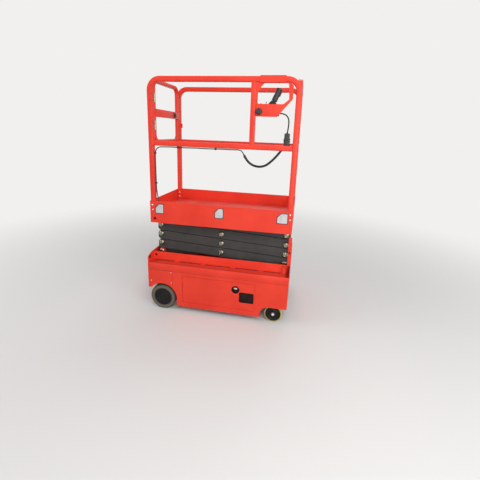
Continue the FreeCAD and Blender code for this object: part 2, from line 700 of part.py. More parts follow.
def build_bays():
    """Battery box in the near bay; tank and pump motor in the far one."""
    left = DOOR_LEFT + BATTERY_FROM_DOOR
    right = left + BATTERY_LENGTH
    y0 = -PANEL_Y + BATTERY_INSET
    y1 = -WALL_Y - SHEET - BATTERY_WALL_GAP
    low = BAY_FLOOR + SHEET
    save("battery_box", [box(left, right, y0, y1, low, BATTERY_TOP)])
    tank = box(left, left + TANK_LENGTH, -y1, -y0, low, BATTERY_TOP)
    axis = V(left + TANK_LENGTH - PROUD, -(y0 + y1) / 2, low + PUMP_R)
    pump = Part.makeCylinder(PUMP_R, BATTERY_LENGTH - TANK_LENGTH, axis, ALONG)
    save("power_unit", [fuse([tank, pump])])


def build_doors():
    out = -PANEL_Y - PROUD
    back = -PANEL_Y + DOOR_THICK + PROUD
    door = box(DOOR_LEFT + DOOR_GAP, DOOR_RIGHT - DOOR_GAP, -PANEL_Y, -PANEL_Y + DOOR_THICK,
               DOOR_BOTTOM + DOOR_GAP, DOOR_TOP - DOOR_GAP)
    door = round_edges(door, ACROSS, DOOR_CORNER)
    door = door.cut(round_bar(DOOR_RIGHT - LOCK_FROM_EDGE, LOCK_Z, LOCK_R, out, back))
    knuckles = []
    bores = []
    for height in DOOR_HINGE_HEIGHTS:
        low = height - DOOR_HINGE_HALF
        top = height + DOOR_HINGE_HALF
        door = door.cut(box(DOOR_HINGE_X, DOOR_HINGE_X + DOOR_HINGE_R + PROUD, out, back,
                            low - PROUD, height))
        knuckles.append(upright(DOOR_HINGE_X, -PANEL_Y, DOOR_HINGE_R, height, top))
        knuckles.append(box(DOOR_HINGE_X, DOOR_HINGE_X + SHEET, -PANEL_Y, -PANEL_Y + DOOR_THICK,
                            height, top))
        bores.append(upright(DOOR_HINGE_X, -PANEL_Y, DOOR_HINGE_PIN_R + PIN_FIT, height - PROUD,
                             top + PROUD))
    door = fuse([door] + knuckles)
    for bore in bores:
        door = door.cut(bore)
    right = DOOR_RIGHT - WINDOW_FROM_EDGE
    window = box(right - WINDOW_LENGTH, right, out, back, WINDOW_BOTTOM, WINDOW_TOP)
    save("door_near", [door.cut(round_edges(window, ACROSS, DOOR_CORNER))])
    save("door_far", [far(door)])
    low = WINDOW_BOTTOM - SWITCH_MARGIN
    high = WINDOW_TOP + SWITCH_MARGIN
    edge = DOOR_RIGHT + SWITCH_MARGIN + FLANGE_WIDTH / 2
    face = -PANEL_Y + SWITCH_SETBACK
    panel = box(right - WINDOW_LENGTH - SWITCH_MARGIN, edge, face, face + PLATE, low, high)
    flange = box(edge - FLANGE_WIDTH, edge, -PANEL_INSIDE_Y, face + PROUD, low, high)
    save("switch_panel", [fuse([panel, flange])])


def tyre(x, radius, hub_r, y0, width, shoulder):
    """A solid tyre ring with broken shoulders, standing on the ground."""
    y1 = y0 + width
    return turned(x, radius, [(hub_r, y0), (radius - shoulder, y0), (radius, y0 + shoulder),
                              (radius, y1 - shoulder), (radius - shoulder, y1), (hub_r, y1)])


def build_wheels():
    y0 = -DRIVE_FACE_Y
    y1 = y0 + DRIVE_WIDTH
    drive_tyre = tyre(DRIVE_X, DRIVE_R, DRIVE_HUB_R, y0, DRIVE_WIDTH, DRIVE_SHOULDER)
    disc = round_bar(DRIVE_X, DRIVE_R, DRIVE_HUB_R, y0 + HUB_INSET, y1 - HUB_INSET)
    boss = round_bar(DRIVE_X, DRIVE_R, BOSS_R, y1 - HUB_INSET - PROUD, y1 + BOSS_LENGTH)
    drive_hub = fuse([disc, boss])
    motor = round_bar(DRIVE_X, DRIVE_R, MOTOR_R, y1 + BOSS_LENGTH + SEAT_GAP, -WALL_Y - SHEET)
    save("drive_tyre_near", [drive_tyre])
    save("drive_tyre_far", [far(drive_tyre)])
    save("drive_hub_near", [drive_hub])
    save("drive_hub_far", [far(drive_hub)])
    save("drive_motors", pair(motor))
    y0 = -STEER_FACE_Y
    y1 = y0 + STEER_WIDTH
    steer_tyre = tyre(STEER_X, STEER_R, STEER_HUB_R, y0, STEER_WIDTH, STEER_SHOULDER)
    disc = round_bar(STEER_X, STEER_R, STEER_HUB_R, y0 + HUB_INSET, y1 - HUB_INSET)
    steer_hub = disc.cut(round_bar(STEER_X, STEER_R, AXLE_R + PIN_FIT, y0, y1))
    nut_y = y0 + HUB_INSET - SEAT_GAP
    axle = round_bar(STEER_X, STEER_R, AXLE_R, nut_y - PROUD, -KINGPIN_Y)
    nut = round_bar(STEER_X, STEER_R, NUT_R, nut_y - NUT_LENGTH, nut_y)
    carrier = box(STEER_X - CARRIER_HALF, STEER_X + CARRIER_HALF, y1 + BOSS_LENGTH,
                  -KINGPIN_Y + CARRIER_HALF, STEER_R - CARRIER_BELOW, SOCKET_BOTTOM - SEAT_GAP)
    kingpin = upright(STEER_X, -KINGPIN_Y, KINGPIN_R, SOCKET_BOTTOM - SOCKET_DEPTH,
                      BEAM_TOP - BEAM_DEPTH + KINGPIN_IN_BEAM - PROUD)
    knuckle = fuse([axle, nut, carrier, kingpin])
    save("steer_tyre_near", [steer_tyre])
    save("steer_tyre_far", [far(steer_tyre)])
    save("steer_hub_near", [steer_hub])
    save("steer_hub_far", [far(steer_hub)])
    save("knuckle_near", [knuckle])
    save("knuckle_far", [far(knuckle)])


def build_platform():
    """Deck plate with notched corners for the posts, toe boards, and tracks and lugs below."""
    low = DECK_TOP - TOE_UNDER_DECK
    high = DECK_TOP + TOE_OVER_DECK
    board_y = HALF_WIDTH - SHEET
    side = box(-HALF_LENGTH, HALF_LENGTH, -HALF_WIDTH, -board_y, low, high)
    tie_x = -HALF_LENGTH + TIE_HOLE_FROM_END
    tie_z = DECK_TOP - TIE_HOLE_UNDER_DECK
    side = side.cut(round_bar(tie_x, tie_z, TIE_HOLE_R, -HALF_WIDTH - PROUD, -board_y + PROUD))
    end = box(INSIDE_X, HALF_LENGTH, -board_y, board_y, low, high)
    save("toe_boards", pair(side) + [end, end.mirror(V(0, 0, 0), ALONG)])
    deck = box(-INSIDE_X, INSIDE_X, -board_y, board_y, DECK_UNDER, DECK_TOP)
    notch = RAIL_TUBE + SEAT_GAP
    corner = box(INSIDE_X - notch, HALF_LENGTH, -HALF_WIDTH, -board_y + notch,
                 DECK_UNDER - PROUD, DECK_TOP + PROUD)
    gland_x = POST_CABLE[-1][0] + DECK_GLAND_R + NOTCH_PAST_GLAND
    cable_way = box(-HALF_LENGTH, gland_x, -HALF_WIDTH, -board_y + notch, DECK_UNDER - PROUD,
                    DECK_TOP + PROUD)
    for cutter in [far(corner.mirror(V(0, 0, 0), ALONG)), cable_way] + pair(corner):
        deck = deck.cut(cutter)
    save("deck_plate", [deck])
    top = level_pin("right", LEVELS)
    track = box(TRACK_START_X, INSIDE_X, -PACK_HALF_WIDTH, -OUTER_Y,
                top.z + ROLLER_R + SEAT_GAP, DECK_UNDER)
    lug = pivot_lug(level_pin("left", LEVELS), -INNER_Y - ARM_WIDTH + ROLLER_PLAY,
                    -INNER_Y - ROLLER_PLAY, DECK_UNDER)
    save("platform_tracks", pair(track) + pair(lug))


def build_rails():
    y = -RAIL_Y
    corners = [V(-POST_X, y, DECK_UNDER), V(-POST_X, y, RAIL_Z), V(POST_X, y, RAIL_Z),
               V(POST_X, y, DECK_UNDER)]
    loop = tube_along(bent_path(corners, RAIL_BEND), ACROSS, RAIL_TUBE)
    reach = POST_X - RAIL_TUBE / 2 + RAIL_CORNER
    mid = straight_tube(V(-reach, y, MID_RAIL_Z), V(reach, y, MID_RAIL_Z), ACROSS, RAIL_TUBE)
    post = straight_tube(V(CENTRE_POST_X, y, MID_RAIL_Z), V(CENTRE_POST_X, y, RAIL_Z), ACROSS,
                         RAIL_TUBE - PROUD)
    save("side_rail_near", [fuse([loop, mid, post])])
    z = RAIL_TOP - STRIKER_DROP
    striker = fuse([box(-HALF_LENGTH, -INSIDE_X, RAIL_IN_Y, RAIL_Y, z - STRIKER_HALF,
                        z + STRIKER_HALF),
                    box(-HALF_LENGTH, -HALF_LENGTH + STRIKER_THICK, RAIL_IN_Y - STRIKER_REACH,
                        RAIL_Y, z - STRIKER_HALF, z + STRIKER_HALF)])
    face = -POST_X + RAIL_TUBE / 2
    tab_top = RAIL_TOP - POST_TAB_DROP
    tab = box(face - PROUD, face + POST_TAB_REACH, RAIL_Y - POST_TAB_THICK, RAIL_Y,
              tab_top - POST_TAB_HEIGHT, tab_top)
    save("side_rail_far", [fuse([far(fuse([loop, mid])), striker, tab])])
    leg = RAIL_Y - RAIL_TUBE
    corners = [V(POST_X, -leg, MID_RAIL_Z), V(POST_X, -leg, RAIL_Z), V(POST_X, leg, RAIL_Z),
               V(POST_X, leg, MID_RAIL_Z)]
    save("end_rail", [tube_along(bent_path(corners, RAIL_BEND, True), ALONG, RAIL_TUBE)])


def build_gate():
    """The swinging half-height gate with its flat plate, latch and hinges."""
    reach = RAIL_IN_Y - GATE_GAP - GATE_TUBE / 2
    x = -POST_X
    low = MID_RAIL_Z + GATE_LIFT
    corners = [V(x, -reach, low), V(x, -reach, RAIL_Z), V(x, reach, RAIL_Z), V(x, reach, low)]
    frame = tube_along(bent_path(corners, GATE_BEND, True), ALONG, GATE_TUBE)
    edge = reach + GATE_TUBE / 2 - GATE_PLATE_MARGIN
    face = x + GATE_TUBE / 2
    back = face + GATE_PLATE_THICK
    high = RAIL_TOP - GATE_PLATE_DROP
    plate = box(face - GATE_PLATE_LAP, back, -edge, edge, high - GATE_PLATE_HEIGHT, high)
    save("gate_frame", [fuse([frame, plate])])
    latch_z = high - GATE_PLATE_HEIGHT / 2
    latch_y = edge - LATCH_FROM_EDGE
    latch = box(back, back + LATCH_THICK, latch_y - LATCH_LENGTH, latch_y,
                latch_z - LATCH_HEIGHT / 2, latch_z + LATCH_HEIGHT / 2)
    save("gate_latch", [round_edges(latch, ALONG, LATCH_CORNER)])
    hinge_x = x + RAIL_TUBE / 2
    hinge_y = -RAIL_IN_Y + HINGE_BARREL_R + HINGE_STEP
    half = HINGE_LENGTH / 2
    knuckles = []
    pins = []
    for drop in HINGE_DROPS:
        middle = RAIL_TOP - drop
        top = middle + half
        low = middle - half
        leaf = box(hinge_x - HINGE_LEAF, hinge_x, hinge_y, -reach - GATE_TUBE / 2,
                   middle + LEAF_INSET, top - LEAF_INSET)
        leaf = leaf.cut(upright(hinge_x, hinge_y, HINGE_BARREL_R - PROUD, middle, top))
        knuckle = fuse([upright(hinge_x, hinge_y, HINGE_BARREL_R, middle, top), leaf])
        knuckles.append(knuckle.cut(upright(hinge_x, hinge_y, HINGE_PIN_R + PIN_FIT,
                                            middle - PROUD, top + PROUD)))
        pins.append(fuse([upright(hinge_x, hinge_y, HINGE_BARREL_R, low, middle - HINGE_STEP),
                          upright(hinge_x, hinge_y, HINGE_PIN_R, low, top),
                          box(hinge_x - HINGE_BARREL_R, hinge_x, -RAIL_IN_Y, hinge_y,
                              low + LEAF_INSET, middle - HINGE_STEP - LEAF_INSET)]))
    save("gate_hinges", knuckles)
    save("hinge_pins", pins)


def end_gland(route, radius, length, from_end=False):
    """A round gland in line with a route's first run, ending where the cord starts."""
    first, second = (route[-1], route[-2]) if from_end else (route[0], route[1])
    tip = V(*first)
    line = (V(*second) - tip).normalize()
    return Part.makeCylinder(radius, length, tip - line * length, line)


# Outlines of the guard plate and its window, as distances from the guard's upper left corner
GUARD_OUTLINE = ((0, 240), (0, 0), (223, 0), (244, 5), (267, 21), (267, 114), (159, 240))
GUARD_WINDOW = ((11, 150), (11, 69), (31, 36), (56, 8), (232, 8), (240, 118), (200, 150))


def guard_shape(table, y0, y1):
    points = [(GUARD_LEFT + along, GUARD_TOP - down) for along, down in table]
    return round_edges(side_plate(points, y0, y1), ACROSS, GUARD_CORNER)


def build_control_station():
    """Guard plate hung under the top rail, with the control box, its lever and stop button."""
    face = -RAIL_OUT_Y
    y1 = face + GUARD_SETBACK
    y0 = y1 - GUARD_THICK
    plate = guard_shape(GUARD_OUTLINE, y0, y1).cut(guard_shape(GUARD_WINDOW, y0 - PROUD, y1 + PROUD))
    left = GUARD_LEFT + HOOK_ALONG
    right = left + HOOK_LENGTH
    over = RAIL_TOP + SEAT_GAP
    back = -RAIL_IN_Y + SEAT_GAP
    hook = [box(left, right, face - GUARD_THICK, y1, GUARD_TOP - GUARD_THICK, GUARD_TOP),
            box(left, right, face - GUARD_THICK, face, GUARD_TOP - PROUD, over + PROUD),
            box(left, right, face - GUARD_THICK, back + GUARD_THICK, over, over + GUARD_THICK),
            box(left, right, back, back + GUARD_THICK, RAIL_TOP - HOOK_BACK, over + PROUD)]
    save("control_guard", [fuse([plate] + hook)])
    front = y1 + SEAT_GAP
    middle_y = front + BOX_DEPTH / 2
    case = box(BOX_LEFT, BOX_LEFT + BOX_LENGTH, front, front + BOX_DEPTH, BOX_TOP - BOX_HEIGHT, BOX_TOP)
    case = round_edges(case, ACROSS, BOX_CORNER)
    gland = end_gland(CONTROL_CABLE, CABLE_GLAND_R, CABLE_GLAND_LENGTH + PROUD)
    save("control_box", [fuse([case, gland])])
    foot = V(GUARD_LEFT + STICK_ALONG, middle_y, BOX_TOP)
    lean = V(STICK_LEAN[0], 0, STICK_LEAN[1])
    boot = Part.makeCone(STICK_BOOT_R, STICK_BOOT_TOP_R, STICK_BOOT_HEIGHT, foot, UP)
    stem = Part.makeCylinder(STICK_R, lean.Length * GRIP_START, foot + UP * STICK_R, lean)
    grip = Part.makeCone(GRIP_LOW_R, GRIP_TOP_R, GRIP_LENGTH, foot + lean * GRIP_START, lean)
    save("joystick", [fuse([boot, stem, grip])])
    knob_x = GUARD_LEFT + STOP_ALONG
    knob_z = GUARD_TOP - STOP_DROP
    save("stop_button", [round_bar(knob_x, knob_z, STOP_R, y0 - STOP_REACH, y0)])


def cord_tube(name, route, diameter):
    """A cord's tube: straight runs joined by tangent arcs as large as the runs allow."""
    points = [V(*point) for point in route]
    edges = []
    radii = []
    length = 0.0
    last = points[0]
    for before, here, after in zip(points, points[1:], points[2:]):
        into = here - before
        out = after - here
        trim = 0.45 * min(into.Length, out.Length)
        half_turn = into.getAngle(out) / 2
        radius = trim / math.tan(half_turn)
        into.normalize()
        out.normalize()
        bisector = (out - into).normalize()
        start = here - into * trim
        end = here + out * trim
        middle = here + bisector * (math.hypot(radius, trim) - radius)
        edges.append(Part.LineSegment(last, start).toShape())
        edges.append(Part.Arc(start, middle, end).toShape())
        length += (start - last).Length + 2 * half_turn * radius
        radii.append(radius)
        last = end
    edges.append(Part.LineSegment(last, points[-1]).toShape())
    length += (points[-1] - last).Length
    path = Part.Wire(edges)
    direction = (points[1] - points[0]).normalize()
    ring = Part.Wire(Part.makeCircle(diameter / 2, points[0], direction))
    tube = Part.Solid(path.makePipeShell([ring], True, False))
    share = tube.Volume / (math.pi * diameter ** 2 / 4 * length)
    print("%s: length %.1f, volume share %.4f, radii %s"
          % (name, length, share, " ".join("%.1f" % radius for radius in radii)))
    return tube


def build_cables():
    """The cables with the plug on the mid rail, their clips, and the gland in the deck notch."""
    save("control_cable", [cord_tube("control cable", CONTROL_CABLE, CONTROL_CABLE_D)])
    save("cable_conduit", [cord_tube("conduit", CONDUIT, CONDUIT_D)])
    cable = cord_tube("post cable", POST_CABLE, POST_CABLE_D)
    save("post_cable", [cable])
    sleeve = cord_tube("clip bore", POST_CABLE, POST_CABLE_D + 2 * SEAT_GAP)
    x = CONTROL_CABLE[-1][0]
    low = CONDUIT[0][2] + PLUG_OVER_OUTLET
    top = CONTROL_CABLE[-1][2] - CABLE_GLAND_LENGTH + PROUD
    half = PLUG_WIDTH / 2
    plug = box(x - half, x + half, -RAIL_IN_Y, -RAIL_IN_Y + PLUG_DEPTH, low, top)
    plug = round_edges(plug, UP, PLUG_CORNER)
    inlet = end_gland(CONTROL_CABLE, CABLE_GLAND_R, CABLE_GLAND_LENGTH, True)
    outlet = end_gland(CONDUIT, CONDUIT_GLAND_R, PLUG_DEPTH)
    save("cable_connector", [fuse([plug, inlet, outlet])])
    clips = []
    under = MID_RAIL_Z - RAIL_TUBE / 2
    for clip_x in RAIL_CLIPS_X:
        clips.append(box(clip_x, clip_x + CLIP_LENGTH, -RAIL_Y - CLIP_HALF + PLATE,
                         -RAIL_Y + CLIP_HALF + PLATE, under - CLIP_DEPTH, under))
    post_face = -POST_X + RAIL_TUBE / 2
    for drop in POST_CLIPS_DROP:
        clip_z = MID_RAIL_Z - drop
        clips.append(box(post_face, post_face + CLIP_DEPTH - SHEET, -RAIL_Y - CLIP_HALF + PLATE,
                         -RAIL_Y + CLIP_HALF + PLATE, clip_z, clip_z + CLIP_LENGTH))
    tip = V(*POST_CABLE[-1])
    gland = end_gland(POST_CABLE, DECK_GLAND_R, DECK_GLAND_LENGTH, True)
    bracket = box(tip.x - DECK_GLAND_R, tip.x + DECK_GLAND_R, -HALF_WIDTH + SHEET,
                  tip.y, DECK_UNDER, tip.z - DECK_GLAND_LENGTH / 2)
    save("cable_fixings", [clip.cut(sleeve) for clip in clips] + [fuse([gland, bracket])])


os.makedirs("parts", exist_ok=True)
build_scissor()
build_cylinder()
build_chassis_frame()
for end, shape in zip(("near", "far"), pair(side_panel())):
    save("side_panel_" + end, [shape])
build_end_plates()
build_bays()
build_doors()
build_wheels()
build_platform()
build_rails()
build_gate()
build_control_station()
build_cables()
for name, count, volume in NODES:
    print("%-20s %2d solids %10.1f cm3" % (name, count, volume / 1000))
print(len(NODES), "nodes")
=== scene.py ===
import math
import bmesh
import bpy
from mathutils import Matrix, Vector


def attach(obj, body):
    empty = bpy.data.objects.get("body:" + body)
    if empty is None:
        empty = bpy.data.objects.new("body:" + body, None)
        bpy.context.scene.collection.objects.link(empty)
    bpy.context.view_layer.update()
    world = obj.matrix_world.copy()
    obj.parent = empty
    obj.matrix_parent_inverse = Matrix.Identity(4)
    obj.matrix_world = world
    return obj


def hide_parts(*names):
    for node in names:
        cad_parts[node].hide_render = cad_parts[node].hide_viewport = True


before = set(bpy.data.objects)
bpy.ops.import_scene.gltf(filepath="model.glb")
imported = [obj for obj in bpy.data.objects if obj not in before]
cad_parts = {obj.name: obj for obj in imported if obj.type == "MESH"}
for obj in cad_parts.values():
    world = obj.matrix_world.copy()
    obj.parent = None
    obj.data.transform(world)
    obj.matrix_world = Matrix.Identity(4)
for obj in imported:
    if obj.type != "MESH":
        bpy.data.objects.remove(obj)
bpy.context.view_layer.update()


# Camera: a hand-held picture from head height, looking a little down and to the left.
# The lens, place and tilt are those of the photograph's frame.
camera_place = (0.62916, -2.73130, 1.55147)
camera_heading, camera_dip, camera_roll = 0.185, 0.2534, 0.0343
camera = bpy.data.objects.new("camera", bpy.data.cameras.new("camera"))
bpy.context.scene.collection.objects.link(camera)
bpy.context.scene.camera = camera
camera.data.sensor_width = 36
camera.data.lens = 23.558
camera.data.shift_y = -0.0552
camera.matrix_world = (Matrix.Translation(camera_place)
                       @ Matrix.Rotation(camera_heading, 4, "Z")
                       @ Matrix.Rotation(math.pi / 2 - camera_dip, 4, "X")
                       @ Matrix.Rotation(camera_roll, 4, "Z"))


# Control cable and post cable: round black PVC cables, smooth from the extruder, that run from
# the control box to the plug on the mid rail, then under the rail and down the entry post.
def linear(hex_colour):
    """An sRGB colour like "#e63e2e" as linear red, green, blue and alpha."""
    values = [int(hex_colour[i:i + 2], 16) / 255 for i in (1, 3, 5)]
    return [v / 12.92 if v <= 0.04045 else ((v + 0.055) / 1.055) ** 2.4 for v in values] + [1.0]


def add_node(material, kind, inputs=None, **settings):
    """A node with its own settings, and a value or another node's output for each input named."""
    node = material.node_tree.nodes.new("ShaderNode" + kind)
    for name, value in settings.items():
        setattr(node, name, value)
    for name, value in (inputs or {}).items():
        if isinstance(value, bpy.types.NodeSocket):
            material.node_tree.links.new(value, node.inputs[name])
        else:
            node.inputs[name].default_value = value
    return node


def new_finish(name, colour, roughness, metallic=0.0):
    """A material whose shader has one colour, roughness and metalness to start from."""
    material = bpy.data.materials.new(name)
    material.use_nodes = True
    shader = material.node_tree.nodes["Principled BSDF"]
    shader.inputs["Base Color"].default_value = linear(colour)
    shader.inputs["Roughness"].default_value = roughness
    shader.inputs["Metallic"].default_value = metallic
    return material, shader


def vary_finish(material, shader, low_colour, high_colour, patch_mm, low_rough, high_rough,
                grain_mm, grain_depth_mm):
    """Uneven colour and gloss in patches of one size, and a fine grain in the surface. Returns the
    outputs that carry the colour and the grain."""
    place = add_node(material, "TexCoord").outputs["Object"]
    patches = add_node(material, "TexNoise", {
        "Vector": place, "Scale": 1000 / patch_mm, "Detail": 5.0, "Roughness": 0.6})
    ramp = add_node(material, "ValToRGB", {"Fac": patches.outputs["Fac"]})
    ramp.color_ramp.elements[0].position = 0.35
    ramp.color_ramp.elements[0].color = linear(low_colour)
    ramp.color_ramp.elements[1].position = 0.65
    ramp.color_ramp.elements[1].color = linear(high_colour)
    gloss = add_node(material, "MapRange", {
        "Value": patches.outputs["Fac"], "From Min": 0.3, "From Max": 0.7,
        "To Min": low_rough, "To Max": high_rough})
    grain = add_node(material, "TexNoise", {
        "Vector": place, "Scale": 1000 / grain_mm, "Detail": 2.0})
    bump = add_node(material, "Bump", {
        "Height": grain.outputs["Fac"], "Strength": 1.0, "Distance": grain_depth_mm / 1000})
    links = material.node_tree.links
    links.new(ramp.outputs["Color"], shader.inputs["Base Color"])
    links.new(gloss.outputs["Result"], shader.inputs["Roughness"])
    links.new(bump.outputs["Normal"], shader.inputs["Normal"])
    return ramp.outputs["Color"], bump.outputs["Normal"]


# Plasticised PVC: a soft, slightly waxy black with a fine matt grain.
pvc_jacket, shader = new_finish("extruded_pvc_jacket", "#1d1c1e", 0.48)
vary_finish(pvc_jacket, shader, "#19181a", "#242326", 30, 0.42, 0.56, 1.2, 0.03)


def cord_curve(name, route_mm, diameter_mm):
    """A cord on one NURBS spline through a route's control points, given in millimetres."""
    curve = bpy.data.curves.new(name, "CURVE")
    curve.dimensions = "3D"
    spline = curve.splines.new("NURBS")
    spline.points.add(len(route_mm) - 1)
    for point, place in zip(spline.points, route_mm):
        point.co = [along / 1000 for along in place] + [1.0]
    spline.order_u = 3
    spline.use_endpoint_u = True
    curve.resolution_u = 12
    curve.bevel_depth = diameter_mm / 2000
    curve.bevel_resolution = 5
    curve.use_fill_caps = True
    cord = bpy.data.objects.new(name, curve)
    bpy.context.scene.collection.objects.link(cord)
    return cord


control_cable = cord_curve("control_cable_cord", [
    (442, -284, 1695), (473, -283, 1694), (500.5, -278.5, 1679),
    (515, -271, 1652), (515.5, -264, 1605), (509, -260, 1558)], 10)
control_cable.data.materials.append(pvc_jacket)
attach(control_cable, "platform")
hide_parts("control_cable")

post_cable = cord_curve("post_cable_cord", [
    (184, -262, 1376), (168, -262.8, 1405.6), (145, -268, 1417),
    (97, -282, 1415), (10, -294, 1417.5), (-99, -292, 1414.5),
    (-206, -295, 1417), (-316, -293, 1414), (-404, -296, 1417),
    (-466, -294, 1415), (-514, -293, 1414), (-537.5, -292, 1400),
    (-550.5, -292.5, 1377), (-551.2, -294, 1317), (-549.6, -296, 1236),
    (-550.8, -293, 1152), (-549.4, -295, 1070), (-541, -297, 1012),
    (-529, -299, 960), (-521, -300, 920), (-519, -300, 882)], 8)
post_cable.data.materials.append(pvc_jacket)
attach(post_cable, "platform")
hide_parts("post_cable")


# Cable conduit: a corrugated black polyamide hose that hangs in a loop under the mid rail.
# It is blow-moulded in rings 4 mm apart, turned here straight and then laid along its route.
def turn(work, profile_mm, centre_mm, axis, steps):
    """Spins (radius, along) points round an axis into a closed, outward-facing surface."""
    axis = Vector(axis)
    side = axis.orthogonal().normalized()
    centre = Vector(centre_mm)
    known = set(work.verts)
    verts = [work.verts.new((centre + side * r + axis * along) / 1000) for r, along in profile_mm]
    edges = [work.edges.new(pair) for pair in zip(verts, verts[1:])]
    if profile_mm[0][0] > 0:
        edges.append(work.edges.new((verts[-1], verts[0])))
    bmesh.ops.spin(work, geom=verts + edges, cent=centre / 1000, axis=axis, dvec=(0, 0, 0),
                   angle=math.tau, steps=steps, use_merge=True, use_duplicate=False)
    made = [v for v in work.verts if v not in known]
    bmesh.ops.remove_doubles(work, verts=made, dist=1e-6)
    faces = {f for v in work.verts if v not in known for f in v.link_faces}
    bmesh.ops.recalc_face_normals(work, faces=list(faces))


def add_piece(name, work, material, body, sharp=35):
    """Makes a finished bmesh a piece that rides on a body. Edges sharper than an angle stay crisp."""
    mesh = bpy.data.meshes.new(name)
    work.to_mesh(mesh)
    work.free()
    mesh.shade_smooth()
    mesh.set_sharp_from_angle(angle=math.radians(sharp))
    mesh.materials.append(material)
    piece = bpy.data.objects.new(name, mesh)
    bpy.context.scene.collection.objects.link(piece)
    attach(piece, body)
    return piece


# Polyamide 6: black, satin on the crests where hands and rails polish it, duller in the grooves.
corrugated_nylon, shader = new_finish("blow_moulded_polyamide", "#151416", 0.42)
vary_finish(corrugated_nylon, shader, "#111012", "#1c1b1d", 20, 0.34, 0.5, 0.8, 0.02)

guide = cord_curve("conduit_guide", [
    (481, -260, 1438), (447, -261, 1390), (400, -263, 1338), (355, -264, 1301),
    (300, -263, 1290), (246, -262, 1304), (204, -261, 1339), (184, -262, 1376)], 0)
guide.data.use_fill_caps = False
line = bpy.data.meshes.new_from_object(guide)
conduit_path = [v.co.copy() for v in line.vertices]
conduit_length = sum((b - a).length for a, b in zip(conduit_path, conduit_path[1:]))
groove, crest = 8.2, 9.5
ring_count = round(conduit_length * 1000 / 4)
pitch = conduit_length * 1000 / ring_count
profile = [(0, 0)]
for ring in range(ring_count):
    profile += [(radius, (ring + share) * pitch) for radius, share in
                ((groove, 0), (groove, 0.22), (crest, 0.38), (crest, 0.78), (groove, 0.95))]
profile.append((0, conduit_length * 1000))
work = bmesh.new()
turn(work, profile, (0, 0, 0), (1, 0, 0), 20)
straight = bpy.data.meshes.new("straight_conduit")
work.to_mesh(straight)
work.free()
hose = bpy.data.objects.new("straight_conduit", straight)
bpy.context.scene.collection.objects.link(hose)
guide.data.use_path = True
bend = hose.modifiers.new("bend", "CURVE")
bend.object = guide
bend.deform_axis = "POS_X"
bpy.context.view_layer.update()
bent = bpy.data.meshes.new_from_object(hose.evaluated_get(bpy.context.evaluated_depsgraph_get()))
bpy.data.objects.remove(hose)
bpy.data.objects.remove(guide)
work = bmesh.new()
work.from_mesh(bent)
bmesh.ops.recalc_face_normals(work, faces=work.faces)
conduit = add_piece("cable_conduit_hose", work, corrugated_nylon, "platform", 60)
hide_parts("cable_conduit")

# Heat-shrink sleeve that closes the conduit's end round the cable that leaves it.
work = bmesh.new()
turn(work, [(0, -4), (9.9, -4), (10.4, 2), (10.2, 12), (8.2, 18), (5.4, 24), (4.6, 30), (0, 30)],
     (193.6, -261.5, 1358.2), Vector((-16, -0.8, 29.6)).normalized(), 24)
sleeve = add_piece("conduit_sleeve", work, pvc_jacket, "platform")


# Studio floor: a plain pale matt floor that fades into the same pale background far off.
# It takes the machine's soft shadow and isn't part of it.
work = bmesh.new()
bmesh.ops.create_grid(work, x_segments=1, y_segments=1, size=60)
floor_mesh = bpy.data.meshes.new("floor")
work.to_mesh(floor_mesh)
work.free()
floor = bpy.data.objects.new("floor", floor_mesh)
bpy.context.scene.collection.objects.link(floor)
pale_floor, shader = new_finish("matt_studio_floor", "#dedddb", 0.75)
place = add_node(pale_floor, "TexCoord").outputs["Object"]
distance = add_node(pale_floor, "VectorMath", {0: place}, operation="LENGTH")
fade = add_node(pale_floor, "MapRange", {
    "Value": distance.outputs["Value"], "From Min": 1.2, "From Max": 4.6},
    interpolation_type="SMOOTHSTEP")
backdrop = add_node(pale_floor, "Emission", {"Color": linear("#f1f0ee"), "Strength": 1.0})
blend = add_node(pale_floor, "MixShader", {
    0: fade.outputs["Result"], 1: shader.outputs["BSDF"], 2: backdrop.outputs["Emission"]})
# it throws back no more light than a grey floor does, so that undersides stay in shade
matt_grey = add_node(pale_floor, "BsdfDiffuse", {"Color": linear("#8c8988")})
rays = add_node(pale_floor, "LightPath")
seen = add_node(pale_floor, "Math", {
    0: rays.outputs["Is Camera Ray"], 1: rays.outputs["Is Glossy Ray"]}, operation="MAXIMUM")
blend = add_node(pale_floor, "MixShader", {
    0: seen.outputs["Value"], 1: matt_grey.outputs["BSDF"], 2: blend.outputs["Shader"]})
pale_floor.node_tree.links.new(blend.outputs["Shader"],
                               pale_floor.node_tree.nodes["Material Output"].inputs["Surface"])
floor_mesh.materials.append(pale_floor)


# Studio light: an even pale surround, a soft key box high in front on the right, and weaker boxes
# on the left, on the right, low in front and overhead behind.
world = bpy.data.worlds.new("studio")
bpy.context.scene.world = world
world.use_nodes = True
surround = world.node_tree.nodes["Background"]
surround.inputs["Color"].default_value = linear("#f4f5f7")
surround.inputs["Strength"].default_value = 0.44
shown = add_node(world, "Background", {"Color": linear("#f1f0ee"), "Strength": 1.0})
rays = add_node(world, "LightPath")
seen = add_node(world, "Math", {
    0: rays.outputs["Is Camera Ray"], 1: rays.outputs["Is Glossy Ray"]}, operation="MAXIMUM")
seen = add_node(world, "Math", {
    0: seen.outputs["Value"], 1: rays.outputs["Is Transmission Ray"]}, operation="MAXIMUM")
mix = add_node(world, "MixShader", {
    0: seen.outputs["Value"], 1: surround.outputs["Background"], 2: shown.outputs["Background"]})
world.node_tree.links.new(mix.outputs["Shader"],
                          world.node_tree.nodes["World Output"].inputs["Surface"])

